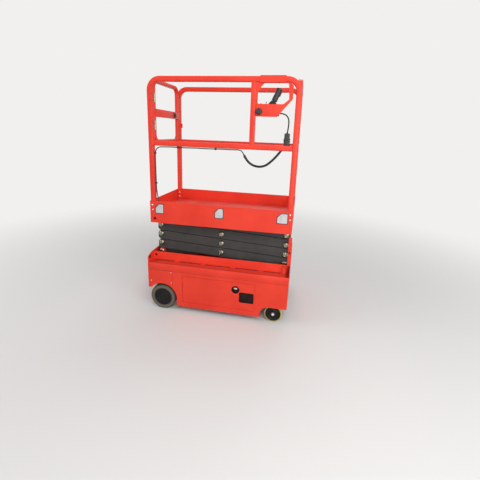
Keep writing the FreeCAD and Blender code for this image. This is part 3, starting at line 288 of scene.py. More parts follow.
for name, place, aim, size, power in (
        ("key_box", (1.3, -3.4, 3.7), (0.1, 0, 0.6), 1.6, 54),
        ("left_box", (-3.7, -1.6, 3.0), (0, 0, 0.8), 2.4, 46),
        ("right_box", (3.6, -2.8, 2.6), (0, 0, 0.8), 2.0, 62),
        ("front_box", (1.6, -4.4, 1.2), (0.1, 0, 0.3), 1.6, 60),
        ("back_box", (0.4, 3.4, 4.2), (0, 0, 0.9), 2.6, 50)):
    lamp = bpy.data.lights.new(name, "AREA")
    lamp.size = size
    lamp.energy = power
    lamp_object = bpy.data.objects.new(name, lamp)
    bpy.context.scene.collection.objects.link(lamp_object)
    lamp_object.location = place
    lamp_object.rotation_euler = (Vector(aim) - Vector(place)).to_track_quat("-Z", "Y").to_euler()

bpy.context.scene.view_settings.view_transform = "Standard"


# Chassis: laser-cut and folded 4 mm steel sheet, welded, then powder coated red in one coat.
# Both doors, the end plates and the inner frame have the same finish.
def finish_nodes(material, *names):
    """Gives CAD nodes a finish."""
    for name in names:
        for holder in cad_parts[name].material_slots:
            holder.material = material


# Polyester powder coat: a warm signal red, semi-gloss, with the slight orange peel of a baked
# powder about 2 mm across, and a little dust on what faces up.
red_powder_coat, shader = new_finish("red_polyester_powder_coat", "#ea402c", 0.36)
shader.inputs["Specular IOR Level"].default_value = 0.3
uneven_red = vary_finish(red_powder_coat, shader, "#e43a28", "#ef4431", 260, 0.34, 0.44,
                         2.2, 0.05)[0]
facing = add_node(red_powder_coat, "SeparateXYZ",
                  {0: add_node(red_powder_coat, "NewGeometry").outputs["Normal"]})
up = add_node(red_powder_coat, "MapRange", {
    "Value": facing.outputs["Z"], "From Min": 0.75, "From Max": 1.0, "To Max": 0.04})
dust = add_node(red_powder_coat, "Mix", {
    0: up.outputs["Result"], 6: uneven_red, 7: linear("#b9a59a")}, data_type="RGBA")


def band_mask(material, strength, bands):
    """A mask of one strength where each value lies in its band. A band is given by the places
    where it starts, is full, stops being full and ends."""
    mask = strength
    for value, start, full, still_full, end in bands:
        for nothing, whole in ((start, full), (end, still_full)):
            edge = add_node(material, "MapRange", {
                "Value": value, "From Min": nothing, "From Max": whole})
            mask = add_node(material, "Math", {0: mask, 1: edge.outputs["Result"]},
                            operation="MULTIPLY").outputs["Value"]
    return mask


# painted shade: the floors of the troughs along both sides are darkened as if shaded by the platform
# above, and their steered end darker still as if in the shadow of the end plate
spot = add_node(red_powder_coat, "SeparateXYZ",
                {0: add_node(red_powder_coat, "TexCoord").outputs["Object"]})
aside = add_node(red_powder_coat, "Math", {0: spot.outputs["Y"]}, operation="ABSOLUTE")
trough_width = (aside.outputs["Value"], 0.2700, 0.2705, 0.3862, 0.3867)
trough_floor = (spot.outputs["Z"], 0.4238, 0.4244, 0.4256, 0.4262)
trough_depth = (spot.outputs["Z"], 0.4184, 0.4244, 0.4900, 0.4960)
steered_end = (spot.outputs["X"], 0.562, 0.592, 0.6060, 0.6065)
dust_and_painted_shade = dust.outputs[2]
# first colour: painted shade on the trough floors; second: painted shadow at the steered end
for strength, bands, colour in ((0.35, (trough_width, trough_floor), "#b62a1d"),
                                (0.75, (trough_width, trough_depth, steered_end), "#80140d")):
    mask = band_mask(red_powder_coat, strength, bands)
    dust_and_painted_shade = add_node(red_powder_coat, "Mix", {0: mask, 6: dust_and_painted_shade, 7: linear(colour)},
                     data_type="RGBA").outputs[2]
red_powder_coat.node_tree.links.new(dust_and_painted_shade, shader.inputs["Base Color"])
finish_nodes(red_powder_coat, "chassis_frame", "side_panel_near", "side_panel_far",
             "end_plate_left", "end_plate_right", "door_near", "door_far")


# Side trim: the folded top rail of each side, which laps 2 mm over the panel below it, and the
# cover over the drive wheel. Both are red sheet with broken edges. A thin dark red strip along
# their lower edges and the cover's seam is painted shade: it stands for the shadow line of the seam.
def soften(work, geom, round_mm, segments, affect="EDGES"):
    """Rounds edges, or the corners of a flat face."""
    bmesh.ops.bevel(work, geom=geom, offset=round_mm / 1000, offset_type="OFFSET",
                    segments=segments, profile=0.5, affect=affect, material=-1)


def verts_in(geom):
    """The vertices among what an operator made."""
    return [v for v in geom if isinstance(v, bmesh.types.BMVert)]


def block(work, low_mm, high_mm, round_mm=0.0, segments=3):
    """A block between two corners, with its edges rounded."""
    low = Vector(low_mm) / 1000
    high = Vector(high_mm) / 1000
    size = high - low
    place = Matrix.Translation((low + high) / 2) @ Matrix.Diagonal((size.x, size.y, size.z, 1))
    made = bmesh.ops.create_cube(work, size=1.0, matrix=place)
    if round_mm:
        edges = list({e for v in made["verts"] for e in v.link_edges})
        soften(work, edges, round_mm, segments)


def add_pair(name, work, material, body, sharp=35):
    """A piece on the near side and its mirror image on the far side. Each rides on its own body
    where the body's name ends in near, and both on the one body named where it doesn't."""
    other = work.copy()
    bmesh.ops.scale(other, vec=(1, -1, 1), verts=other.verts)
    bmesh.ops.reverse_faces(other, faces=other.faces)
    near = add_piece(name + "_near", work, material, body, sharp)
    far = add_piece(name + "_far", other, material, body.replace("_near", "_far"), sharp)
    return near, far


work = bmesh.new()
block(work, (-608, -392, 370), (608, -390, 433), 0.8, 2)
# the cover's outline: its lower edge runs round the wheel arch
arch_centre = Vector((-0.479, 0, 0.115))
arch_radius = 0.134
cover_left, cover_right, cover_low, cover_top = -0.608, -0.388, 0.201, 0.3675
panel_face = Vector((0, -0.3900, 0))
left = math.asin((cover_low - arch_centre.z) / arch_radius)
right = math.acos((cover_right - arch_centre.x) / arch_radius)
start = work.verts.new(arch_centre + Vector((-math.cos(left), 0, math.sin(left))) * arch_radius
                       + panel_face)
arc = bmesh.ops.spin(work, geom=[start], cent=arch_centre, axis=(0, 1, 0), dvec=(0, 0, 0),
                     angle=math.pi - left - right, steps=24, use_merge=False, use_duplicate=False)
chain = verts_in(arc["geom_last"]) + [work.verts.new((x, panel_face.y, z)) for x, z in (
    (cover_right, cover_top), (cover_left, cover_top), (cover_left, cover_low))] + [start]
for a, b in zip(chain, chain[1:]):
    work.edges.new((a, b))
outline = [e for e in work.edges if not e.link_faces]
cover = bmesh.ops.contextual_create(work, geom=outline)["faces"]
sheet = bmesh.ops.extrude_face_region(work, geom=cover)["geom"]
bmesh.ops.translate(work, vec=(0, -0.0015, 0), verts=verts_in(sheet))
bmesh.ops.recalc_face_normals(work, faces=work.faces)
add_pair("side_trim", work, red_powder_coat, "chassis")
# painted shade: a dark red for strips that stand for shadow lines and for the dark behind slots
painted_shade_red, shader = new_finish("dark_red_painted_seam_shade", "#7e2018", 0.6)
vary_finish(painted_shade_red, shader, "#761d16", "#8b261c", 25, 0.55, 0.68, 1.0, 0.04)
# painted shade: the strip under the trim's lower edge and along the cover's seam stands for their
# shadow line
work = bmesh.new()
block(work, (-607.5, -390.3, 368.2), (607.5, -389.9, 370.1))
block(work, (-388.1, -390.3, 214), (-386.3, -389.9, 368.3))
add_pair("seam_shade_strip", work, painted_shade_red, "chassis")

# Slot shade strip: a strip in the same dark red under the slots of the trough floor, and a flat
# bead of it along the outer edge of each slot. Both are painted shade: they stand for the dark seen
# through the slots and the shaded line beside them.
work = bmesh.new()
block(work, (-586, -295.8, 418.4), (540, -282.3, 420.8), 0.6, 2)
for left, right in ((-580, -403), (-356, -162), (-116, 99), (148, 343), (390, 533)):
    block(work, (left, -306, 424.8), (right, -294.1, 426.2), 0.5, 2)
# painted shade: the strip and beads give the slots their dark dashes
add_pair("slot_shade_strip", work, painted_shade_red, "chassis")


# Screws: zinc-plated steel button heads with a hexagon socket. Three hold each cover over a drive
# wheel to the panel behind it.
# Yellow-passivated zinc: a dull, slightly olive metal, as on the pins and hinges.
zinc_plate, shader = new_finish("zinc_plated_steel", "#8f8a79", 0.26, 1.0)
vary_finish(zinc_plate, shader, "#878270", "#9a9583", 45, 0.22, 0.3, 0.7, 0.006)
# Clear-passivated zinc: the same coat without its yellow, so the small screws read as pale dots.
clear_zinc, shader = new_finish("clear_zinc_plated_steel", "#dfe0df", 0.4, 1.0)
vary_finish(clear_zinc, shader, "#d8d9d8", "#e6e7e6", 20, 0.36, 0.46, 0.7, 0.006)


def button_head(work, place_mm, axis, radius_mm):
    """A round button head with a hexagon socket."""
    shares = ((0, 0), (1, 0), (1, 0.12), (0.86, 0.36), (0.55, 0.55), (0.42, 0.56), (0.40, 0.2),
              (0, 0.2))
    turn(work, [(radius_mm * out, radius_mm * along) for out, along in shares], place_mm, axis, 24)


work = bmesh.new()
for x, z in ((-397, 357), (-397, 262), (-581, 266)):
    button_head(work, (x, -391.1, z), (0, -1, 0), 4)
add_pair("cover_screws", work, clear_zinc, "chassis")


# Door locks: a chromed T-handle on a round base, set back in a dark pressed cup that is
# fixed in the door's round hole. The cup's brown-red tint is painted shade.
# Dark enamel with painted shade: black tinted brown-red and nearly matt, so that what is set back
# reads as red paint in shade.
enamel_with_painted_shade, shader = new_finish("black_enamel_with_painted_red_shade", "#1d0b09", 0.6)
shader.inputs["Specular IOR Level"].default_value = 0.25
vary_finish(enamel_with_painted_shade, shader, "#190908", "#240f0d", 50, 0.55, 0.68, 1.0, 0.03)
chrome, shader = new_finish("chromium_plate", "#d9dadc", 0.1, 1.0)
vary_finish(chrome, shader, "#cfd0d3", "#e2e3e4", 40, 0.07, 0.16, 3.0, 0.004)
LOCK_X = 174
LOCK_Z = 272
cup = bmesh.new()
turn(cup, [(33.8, 0), (33.8, 13), (0, 13), (0, 15), (35.5, 15), (35.5, 3.2), (33.9, 3.1)],
     (LOCK_X, -390, LOCK_Z), (0, 1, 0), 48)
turn(cup, [(0, 0), (21, 0), (21, -4), (19.5, -5.5), (0, -5.5)], (LOCK_X, -377.2, LOCK_Z),
     (0, 1, 0), 40)
lock = bmesh.new()
block(lock, (LOCK_X - 16, -390, LOCK_Z + 3), (LOCK_X + 16, -382.4, LOCK_Z + 18), 3.6)
turn(lock, [(0, 0), (6.5, 0), (6.5, -6), (0, -6)], (LOCK_X, -380, LOCK_Z + 10.5), (0, 1, 0), 24)
add_pair("lock_cup", cup, enamel_with_painted_shade, "door_near")
add_pair("door_lock", lock, chrome, "door_near")


# Door landings: a red steel flange round the inside of each door opening, welded behind the side
# panel. The shut door lies in front of it, so that its gap shows red in shade and not the inside.
# Along the hinges it steps back 10 mm, to clear their knuckles.
work = bmesh.new()
for low, high in (((-307, 332), (344.9, 351)), ((-307, 81), (344.9, 99)),
                  ((331, 99.1), (344.9, 331.9))):
    block(work, (low[0], -385.9, low[1]), (high[0], -383.9, high[1]))
block(work, (-307, -385.9, 99.1), (-303, -373.9, 331.9))
block(work, (-303.1, -375.9, 99.1), (-285, -373.9, 331.9))
add_pair("door_landing", work, red_powder_coat, "chassis")


# Switch panel behind the near door's window: a plate in the same dark enamel, whose brown-red
# tint is painted shade, with a charging socket under a sprung lid, a battery switch with a round
# knob, and two rocker switches.
# the switch panel's brown-red tint is painted shade of the red interior
finish_nodes(enamel_with_painted_shade, "switch_panel")
work = bmesh.new()
block(work, (224, -379.5, 174), (260, -375.9, 242), 1.5)
block(work, (229, -382.5, 188), (255, -379, 230), 2.5)
block(work, (270, -378.5, 226), (310, -375.9, 245), 1.2)
block(work, (273, -381.5, 229), (288, -378, 242), 1.6)
block(work, (292, -381.5, 229), (307, -378, 242), 1.6)
turn(work, [(0, 0), (19, 0), (19, -4), (17.5, -5.5), (14, -5.5), (13.5, -4.5), (11, -4.5),
            (11, -10), (10, -11), (0, -11)], (290, -375.9, 199), (0, 1, 0), 40)
block(work, (286.5, -389, 185), (293.5, -385, 213), 2.0)
add_piece("panel_switches", work, enamel_with_painted_shade, "chassis")


# Battery box, hydraulic tank with its pump motor, and the wheel motors: bought units in black
# enamel, seen only under the chassis and through the door openings.
# Black enamel: brushed or sprayed on cast and pressed steel, satin with uneven gloss.
black_paint, shader = new_finish("black_enamel", "#1a191a", 0.4)
vary_finish(black_paint, shader, "#161516", "#211f20", 60, 0.34, 0.5, 1.0, 0.02)
finish_nodes(black_paint, "battery_box", "power_unit")
# Machined steel under oil: mid grey, darker where the oil has gathered.
machined_steel, shader = new_finish("oiled_machined_steel", "#6c6b6a", 0.36, 1.0)
vary_finish(machined_steel, shader, "#5a5958", "#7c7b79", 35, 0.28, 0.46, 0.8, 0.02)
finish_nodes(machined_steel, "drive_motors")
# Moulded ABS: black, satin, with the fine spark-eroded grain of its mould.
black_abs, shader = new_finish("moulded_black_abs", "#232224", 0.46)
vary_finish(black_abs, shader, "#1f1e20", "#2a292b", 45, 0.38, 0.54, 0.9, 0.03)
work = bmesh.new()
for x in (-215, 105):
    block(work, (x, -350, 299.9), (x + 12, -302, 306), 1.2)
for x in (-200, -60, 80):
    turn(work, [(0, 0), (14, 0), (14, 7), (12.5, 9), (0, 9)], (x, -326, 299.9), (0, 0, 1), 28)
block(work, (-222, -357, 299.9), (112, -353, 303), 1.0)
add_piece("battery_fittings", work, black_abs, "chassis")
work = bmesh.new()
turn(work, [(0, 0), (17, 0), (17, 12), (15, 14), (0, 14)], (-180, 326, 299.9), (0, 0, 1), 32)
turn(work, [(0, 0), (31, 0), (31, 5), (29.5, 6.5), (0, 6.5)], (119.9, 326, 96), (1, 0, 0), 48)
for x in (-40.2, 60):
    turn(work, [(31.9, 0), (33.6, 0), (33.6, 9), (31.9, 9)], (x, 326, 96), (1, 0, 0), 48)
add_piece("pump_fittings", work, black_paint, "chassis")


# Drive wheels: a solid non-marking rubber tyre pressed on a steel hub. The side wall has turned
# rings, the tread is plain, and a flat black disc covers the hub.
# Grey-brown filled rubber, dull, paler where the rings rub and darker with dirt at the tread.
DRIVE_WHEEL = (-479, -384, 115)
drive_rubber, shader = new_finish("non_marking_solid_rubber", "#5f574a", 0.8)
uneven_rubber = vary_finish(drive_rubber, shader, "#554d42", "#6b6253", 38, 0.7, 0.86,
                            1.6, 0.12)[0]


def from_axle(material, wheel_mm):
    """How far each point lies from a wheel's axle, in metres."""
    place = add_node(material, "TexCoord").outputs["Object"]
    centred = add_node(material, "Mapping", {
        "Vector": place, "Location": (-wheel_mm[0] / 1000, 0, -wheel_mm[2] / 1000),
        "Scale": (1, 0, 1)})
    return add_node(material, "VectorMath", {0: centred.outputs["Vector"]},
                    operation="LENGTH").outputs["Value"]


outward = add_node(drive_rubber, "MapRange", {
    "Value": from_axle(drive_rubber, DRIVE_WHEEL), "From Min": 0.078, "From Max": 0.115})
rings = add_node(drive_rubber, "ValToRGB", {"Fac": outward.outputs["Result"]})
rings.color_ramp.elements[0].color = linear("#554e43")
rings.color_ramp.elements[1].color = linear("#2c261f")
for position, colour in ((0.18, "#5c5549"), (0.24, "#2f2922"), (0.31, "#6f685b"), (0.60, "#7a7265"),
                         (0.66, "#332c24"), (0.73, "#554e42"), (0.88, "#463f35")):
    rings.color_ramp.elements.new(position).color = linear(colour)
worn = add_node(drive_rubber, "Mix", {0: 0.75, 6: uneven_rubber, 7: rings.outputs["Color"]},
                data_type="RGBA")
drive_rubber.node_tree.links.new(worn.outputs[2], shader.inputs["Base Color"])
work = bmesh.new()
turn(work, [(80, 0.8), (84, 0.4), (87, 0.4), (88, 1.8), (90, 1.8), (91, 0.4), (101, 0.4),
            (102, 1.9), (104, 1.9), (105, 0.7), (107, 1.6), (110, 3.6), (112.6, 6.4), (114.2, 9.4),
            (115, 13), (115, 67), (114.2, 70.6), (112.6, 73.6), (110, 76.4), (107, 78.4),
            (105, 79.3), (80, 79.3)], DRIVE_WHEEL, (0, 1, 0), 112)
near, far = add_pair("drive_tyre_ring", work, drive_rubber, "drive_wheel_near")
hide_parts("drive_tyre_near")
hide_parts("drive_tyre_far")

# Hub discs: pressed steel in black enamel with fine turned rings, a centre dimple and the wheel
# nut behind it.
hub_enamel, shader = new_finish("black_wheel_enamel", "#0f0d0d", 0.5)
shader.inputs["Specular IOR Level"].default_value = 0.25
vary_finish(hub_enamel, shader, "#0c0a0a", "#171313", 30, 0.42, 0.6, 1.4, 0.04)
work = bmesh.new()
turn(work, [(0, 4.6), (3, 4.6), (4, 5.6), (7, 5.6), (8, 4.4), (20, 4.0), (21, 4.8), (26, 4.8),
            (27, 4.0), (44, 3.6), (45, 4.4), (47, 4.4), (48, 3.6), (62, 3.2), (63, 4.2), (65.5, 4.2),
            (66.5, 3.2), (76, 2.6), (78.4, 3.2), (79.8, 5.0), (79.8, 76.0), (0, 76.0)],
     DRIVE_WHEEL, (0, 1, 0), 96)
turn(work, [(0, 75.0), (24, 75.0), (24, 83.6), (23, 84), (0, 84)], DRIVE_WHEEL, (0, 1, 0), 48)
near, far = add_pair("drive_hub_disc", work, hub_enamel, "drive_wheel_near")
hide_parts("drive_hub_near")
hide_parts("drive_hub_far")


# Steered wheels: a thin yellow polyurethane tyre bonded to a hub in black enamel that runs on a
# fixed axle with a bright nut. The knuckle above it is a welded steel block.
# Cast polyurethane: amber yellow, slightly see-through at the edge, so glossy and a little deep.
STEER_WHEEL = (496, -356, 75)
cast_polyurethane, shader = new_finish("cast_yellow_polyurethane", "#c9ab3e", 0.38)
uneven_yellow = vary_finish(cast_polyurethane, shader, "#c2a750", "#dcc576", 26, 0.3, 0.5,
                            1.2, 0.05)[0]
shader.inputs["Subsurface Weight"].default_value = 0.08
shader.inputs["Subsurface Radius"].default_value = (0.004, 0.003, 0.001)
# road dirt gathers where the tyre meets the hub
clean = add_node(cast_polyurethane, "MapRange", {
    "Value": from_axle(cast_polyurethane, STEER_WHEEL), "From Min": 0.0645, "From Max": 0.0675},
    interpolation_type="SMOOTHSTEP")
dirty = add_node(cast_polyurethane, "Mix", {
    0: clean.outputs["Result"], 6: linear("#2d2618"), 7: uneven_yellow}, data_type="RGBA")
cast_polyurethane.node_tree.links.new(dirty.outputs[2], shader.inputs["Base Color"])
work = bmesh.new()
turn(work, [(63, 0.6), (69, 0.6), (72, 1.6), (74.2, 3.8), (75, 6.8), (75, 43.2), (74.2, 46.2),
            (72, 48.4), (69, 49.4), (63, 49.4)], STEER_WHEEL, (0, 1, 0), 96)
near, far = add_pair("steer_tyre_ring", work, cast_polyurethane, "steer_wheel_near")
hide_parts("steer_tyre_near")
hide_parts("steer_tyre_far")
work = bmesh.new()
turn(work, [(10.05, 4.0), (16, 4.0), (24, 3.8), (25, 5.6), (31, 6.8), (34, 9.0), (50, 10.0),
            (53, 8.4), (56, 3.4), (60.5, 2.6), (62.9, 4.2), (62.9, 46), (56, 46), (50, 42),
            (30, 42), (26, 46), (10.05, 46)], STEER_WHEEL, (0, 1, 0), 72)
near, far = add_pair("steer_hub_disc", work, hub_enamel, "steer_wheel_near")
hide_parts("steer_hub_near")
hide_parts("steer_hub_far")
finish_nodes(machined_steel, "knuckle_near", "knuckle_far")
work = bmesh.new()
bmesh.ops.create_circle(work, cap_ends=True, segments=6, radius=0.0135,
                        matrix=Matrix.Translation((0.496, -0.3605, 0.075))
                        @ Matrix.Rotation(math.pi / 2, 4, "X"))
nut = bmesh.ops.extrude_face_region(work, geom=work.faces[:])["geom"]
bmesh.ops.translate(work, vec=(0, -0.008, 0), verts=verts_in(nut))
soften(work, work.edges[:], 1.2, 2)
bmesh.ops.recalc_face_normals(work, faces=work.faces)
turn(work, [(0, -368.4), (0, -372.6), (4.8, -372.6), (6, -371.4), (6, -368.4)][::-1],
     (496, 0, 75), (0, 1, 0), 24)
add_pair("axle_nut", work, chrome, "knuckle_near")


# Scissor arms: rectangular steel tube with rounded ends and welded bosses, powder coated dark
# grey. The cross tubes between them have the same coat.
# Fine-textured polyester powder: charcoal, matt, with faint streaks along the tube from wiping.
charcoal_powder_coat, shader = new_finish("charcoal_polyester_powder_coat", "#393736", 0.6)
shader.inputs["Specular IOR Level"].default_value = 0.35
uneven_grey = vary_finish(charcoal_powder_coat, shader, "#343231", "#413f3d", 120, 0.52, 0.68,
                          1.0, 0.05)[0]
place = add_node(charcoal_powder_coat, "TexCoord").outputs["Object"]
along = add_node(charcoal_powder_coat, "Mapping", {"Vector": place, "Scale": (3, 40, 40)})
streaks = add_node(charcoal_powder_coat, "TexNoise", {
    "Vector": along.outputs["Vector"], "Scale": 3.0, "Detail": 4.0})
wipe = add_node(charcoal_powder_coat, "MapRange", {
    "Value": streaks.outputs["Fac"], "From Min": 0.5, "From Max": 0.8, "To Max": 0.35})
wiped = add_node(charcoal_powder_coat, "Mix", {
    0: wipe.outputs["Result"], 6: uneven_grey, 7: linear("#4c4946")}, data_type="RGBA")
charcoal_powder_coat.node_tree.links.new(wiped.outputs[2], shader.inputs["Base Color"])
for level in (1, 2, 3, 4):
    finish_nodes(charcoal_powder_coat, "outer_arms_%d" % level, "inner_arms_%d" % level,
                 "cross_tubes_%d" % level)
    finish_nodes(zinc_plate, "pins_%d" % level)
finish_nodes(zinc_plate, "base_shaft", "top_roller_shaft")


# Pin caps: the domed outer face of each pivot pin, turned from the same zinc-plated steel, with a
# ring groove and a grease nipple in the middle. A flat washer in black lies round each head; its
# black is partly the dark gap round the head and partly painted shade round it.
FOLDED_PITCH = 83.6
PIN_LEFT = -547.72
PIN_MIDDLE = 5.7
PIN_RIGHT = 559.12
BASE_PIVOT = 485.4


def pin_washer(work, x, z):
    """One flat washer round a pin head, just off the face of the arm."""
    turn(work, [(21.9, 0), (26.6, 0), (26.6, -1.1), (26.1, -1.6), (21.9, -1.6)],
         (x, -228.3, z), (0, 1, 0), 40)


def pin_cap(work, x, z):
    """One domed cap on the near face of a pin head."""
    turn(work, [(0, 0), (19.2, 0), (19.0, -0.8), (17.8, -1.8), (15.2, -2.6), (14.2, -2.0),
                (13.0, -2.0), (12.0, -3.0), (8.0, -3.7), (4.6, -3.9), (4.2, -4.4), (2.4, -4.9),
                (0, -4.9)], (x, -237.95, z), (0, 1, 0), 40)


for level in (1, 2, 3, 4):
    low = BASE_PIVOT + FOLDED_PITCH * (level - 1)
    caps = bmesh.new()
    washers = bmesh.new()
    for x, z in ((PIN_RIGHT, low), (PIN_MIDDLE, low + FOLDED_PITCH / 2),
                 (PIN_LEFT, low + FOLDED_PITCH)):
        pin_cap(caps, x, z)
        pin_washer(washers, x, z)
    add_pair("pin_caps_%d" % level, caps, zinc_plate, "outer_%d" % level)
    # black washers: partly the dark gap round each pin head, partly painted shade round it
    add_pair("pin_washers_%d" % level, washers, black_paint, "outer_%d" % level)
work = bmesh.new()
pin_cap(work, PIN_LEFT, BASE_PIVOT)
add_pair("base_pin_caps", work, zinc_plate, "inner_1")


# Lift cylinder: a black enamelled barrel and a hard-chromed rod.
finish_nodes(black_paint, "cylinder_barrel")
finish_nodes(chrome, "cylinder_rod")


# Platform: folded red toe boards round a red deck plate, which has a rolled anti-slip pattern of
# short raised bars, laid crosswise 30 mm apart.
finish_nodes(red_powder_coat, "toe_boards", "platform_tracks")
tread_plate, shader = new_finish("powder_coated_tread_plate", "#e33e30", 0.44)
peel = vary_finish(tread_plate, shader, "#d8392b", "#e94737", 180, 0.38, 0.54, 2.2, 0.05)[1]
place = add_node(tread_plate, "TexCoord").outputs["Object"]
BAR_SPACING = 0.030
heights = []
for turned, shift in ((0.785, 0.0), (-0.785, 0.5)):
    laid = add_node(tread_plate, "Mapping", {
        "Vector": place, "Rotation": (0, 0, turned),
        "Scale": (1 / BAR_SPACING, 1 / BAR_SPACING, 1)})
    moved = add_node(tread_plate, "VectorMath", {0: laid.outputs["Vector"], 1: (shift, shift, 0)})
    cell = add_node(tread_plate, "VectorMath", {0: moved.outputs["Vector"]}, operation="FRACTION")
    middle = add_node(tread_plate, "VectorMath", {0: cell.outputs["Vector"], 1: (-0.5, -0.5, 0)})
    oval = add_node(tread_plate, "VectorMath", {0: middle.outputs["Vector"], 1: (1.25, 5.5, 0)},
                    operation="MULTIPLY")
    size = add_node(tread_plate, "VectorMath", {0: oval.outputs["Vector"]}, operation="LENGTH")
    height = add_node(tread_plate, "MapRange", {
        "Value": size.outputs["Value"], "From Min": 0.3, "From Max": 0.5,
        "To Min": 1.0, "To Max": 0.0}, interpolation_type="SMOOTHSTEP")
    heights.append(height.outputs["Result"])
bars = add_node(tread_plate, "Math", {0: heights[0], 1: heights[1]}, operation="MAXIMUM")
tread = add_node(tread_plate, "Bump", {
    "Height": bars.outputs["Value"], "Strength": 1.0, "Distance": 0.0012, "Normal": peel})
tread_plate.node_tree.links.new(tread.outputs["Normal"], shader.inputs["Normal"])
finish_nodes(tread_plate, "deck_plate")

# Bolts of the rail posts: zinc-plated button heads through the toe boards, two at each post, with
# hexagon nuts on the posts' inner faces.
work = bmesh.new()
for x, z in ((-578, 932), (-576, 890), (579, 936), (580, 895)):
    button_head(work, (x, -322.9, z), (0, -1, 0), 6.5)
for x in (-576, 576):
    for z in (934, 892):
        turn(work, [(0, 0), (9, 0), (9, 1.6), (6.8, 1.6), (6.8, 7), (5.8, 8), (0, 8)],
             (x, -279.1, z), (0, 1, 0), 6)
add_pair("post_bolts", work, clear_zinc, "platform")

# Blank plates: three white vinyl labels with a black edge on each toe board. Their markings are
# left off.
white_vinyl, shader = new_finish("white_vinyl_label", "#cbc8ca", 0.34)
vary_finish(white_vinyl, shader, "#c2bfc1", "#d3d0d2", 60, 0.24, 0.36, 1.5, 0.01)
black_ink, shader = new_finish("black_printed_vinyl", "#2b292d", 0.34)
vary_finish(black_ink, shader, "#262428", "#333136", 60, 0.28, 0.4, 1.5, 0.01)


def label(work, left, low, right, high, cut, thick, proud):
    """A thin label on the toe board's face, with rounded corners and its upper left corner cut
    off. It stands proud of the face by what lies under it."""
    outline = [(left, low), (right, low), (right, high), (left + cut, high), (left, high - cut)]
    face = work.faces.new([work.verts.new((x / 1000, (-323 - proud) / 1000, z / 1000))
                           for x, z in outline])
    soften(work, list(face.verts), 6, 4, "VERTICES")
    made = bmesh.ops.extrude_face_region(work, geom=work.faces[:])["geom"]
    bmesh.ops.translate(work, vec=(0, -thick / 1000, 0), verts=verts_in(made))
    bmesh.ops.recalc_face_normals(work, faces=work.faces)


for index, (left, right, low, high) in enumerate(((-555, -476, 858, 944), (-35, 41, 858, 946),
                                                  (474, 564, 857, 946))):
    work = bmesh.new()
    label(work, left, low, right, high, 34, 0.25, 0.0)
    add_pair("label_edge_%d" % (index + 1), work, black_ink, "platform")
    work = bmesh.new()
    label(work, left + 6, low + 6, right - 6, high - 6, 31, 0.2, 0.26)
    add_pair("label_face_%d" % (index + 1), work, white_vinyl, "platform")


# Guard rails: 40 mm square steel tube with 7 mm corners, bent on an 85 mm radius, welded and
# powder coated with the platform.
RAIL_SIZE = 40
TUBE_CORNER = 7
BEND = (90, 85)


def square_tube(work, size_mm, start_mm, heading, side, moves, closed=False):
    """A rounded square tube drawn from a start point: each move is a run in millimetres, or a
    bend given as (degrees, radius) that turns the heading about the side. Its ends are capped,
    or joined where the tube is a closed frame."""
    heading = Vector(heading)
    side = Vector(side)
    place = Vector(start_mm) / 1000
    known = set(work.faces)
    section_frame = Matrix((side, heading.cross(side), heading)).transposed().to_4x4()
    bmesh.ops.create_grid(work, x_segments=1, y_segments=1, size=size_mm / 2000,
                          matrix=Matrix.Translation(place) @ section_frame)
    section = [f for f in work.faces if f not in known]
    soften(work, list(section[0].verts), TUBE_CORNER * size_mm / RAIL_SIZE, 4, "VERTICES")
    section = [f for f in work.faces if f not in known]
    first = [e for f in section for e in f.edges]
    ring = first
    bmesh.ops.delete(work, geom=section, context="FACES_ONLY")
    for move in moves:
        if isinstance(move, tuple):
            angle = math.radians(move[0])
            centre = place + side.cross(heading) * move[1] / 1000
            made = bmesh.ops.spin(work, geom=list({v for e in ring for v in e.verts}) + ring,
                                  cent=centre, axis=side, dvec=(0, 0, 0), angle=angle, steps=10,
                                  use_merge=False, use_duplicate=False)["geom_last"]
            turned = Matrix.Rotation(angle, 3, side)
            place = centre + turned @ (place - centre)
            heading = turned @ heading
        else:
            made = bmesh.ops.extrude_edge_only(work, edges=ring)["geom"]
            bmesh.ops.translate(work, vec=heading * move / 1000, verts=verts_in(made))
            place = place + heading * move / 1000
        ring = [e for e in made if isinstance(e, bmesh.types.BMEdge)]
    if closed:
        bmesh.ops.remove_doubles(work, verts=work.verts, dist=1e-5)
    else:
        for end in (first, ring):
            bmesh.ops.contextual_create(work, geom=end)


def side_loop(work):
    """One side's bent loop, from the foot of the entry post to the foot of the other post, and
    its mid rail."""
    square_tube(work, RAIL_SIZE, (-576, -299, 864), (0, 0, 1), (0, 1, 0),
                [979, BEND, 982, BEND, 979])
    square_tube(work, RAIL_SIZE, (-557, -299, 1444), (1, 0, 0), (0, 1, 0), [1114])


work = bmesh.new()
side_loop(work)
# the centre post is 39 mm wide, so that its faces lie just inside those of the rails
square_tube(work, 39, (247, -299, 1463), (0, 0, 1), (0, 1, 0), [446])
rail = add_piece("near_guard_rail", work, red_powder_coat, "platform")
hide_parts("side_rail_near")

# The far side's entry post carries the striker that the gate's latch meets, and a small tab.
work = bmesh.new()
side_loop(work)
bmesh.ops.scale(work, vec=(1, -1, 1), verts=work.verts)
bmesh.ops.reverse_faces(work, faces=work.faces)
block(work, (-600, 279, 1573), (-595.9, 299, 1609), 1.0, 2)
block(work, (-600, 255, 1573), (-597, 280, 1609), 1.0, 2)
block(work, (-556.5, 293, 1573), (-540, 299, 1613), 1.0, 2)
rail = add_piece("far_guard_rail", work, red_powder_coat, "platform")
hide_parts("side_rail_far")

work = bmesh.new()
square_tube(work, RAIL_SIZE, (576, -174, 1444), (0, 1, 0), (1, 0, 0),
            [348, BEND, 314, BEND, 348, BEND, 314, BEND], closed=True)
rail = add_piece("end_guard_rail", work, red_powder_coat, "platform")
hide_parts("end_rail")

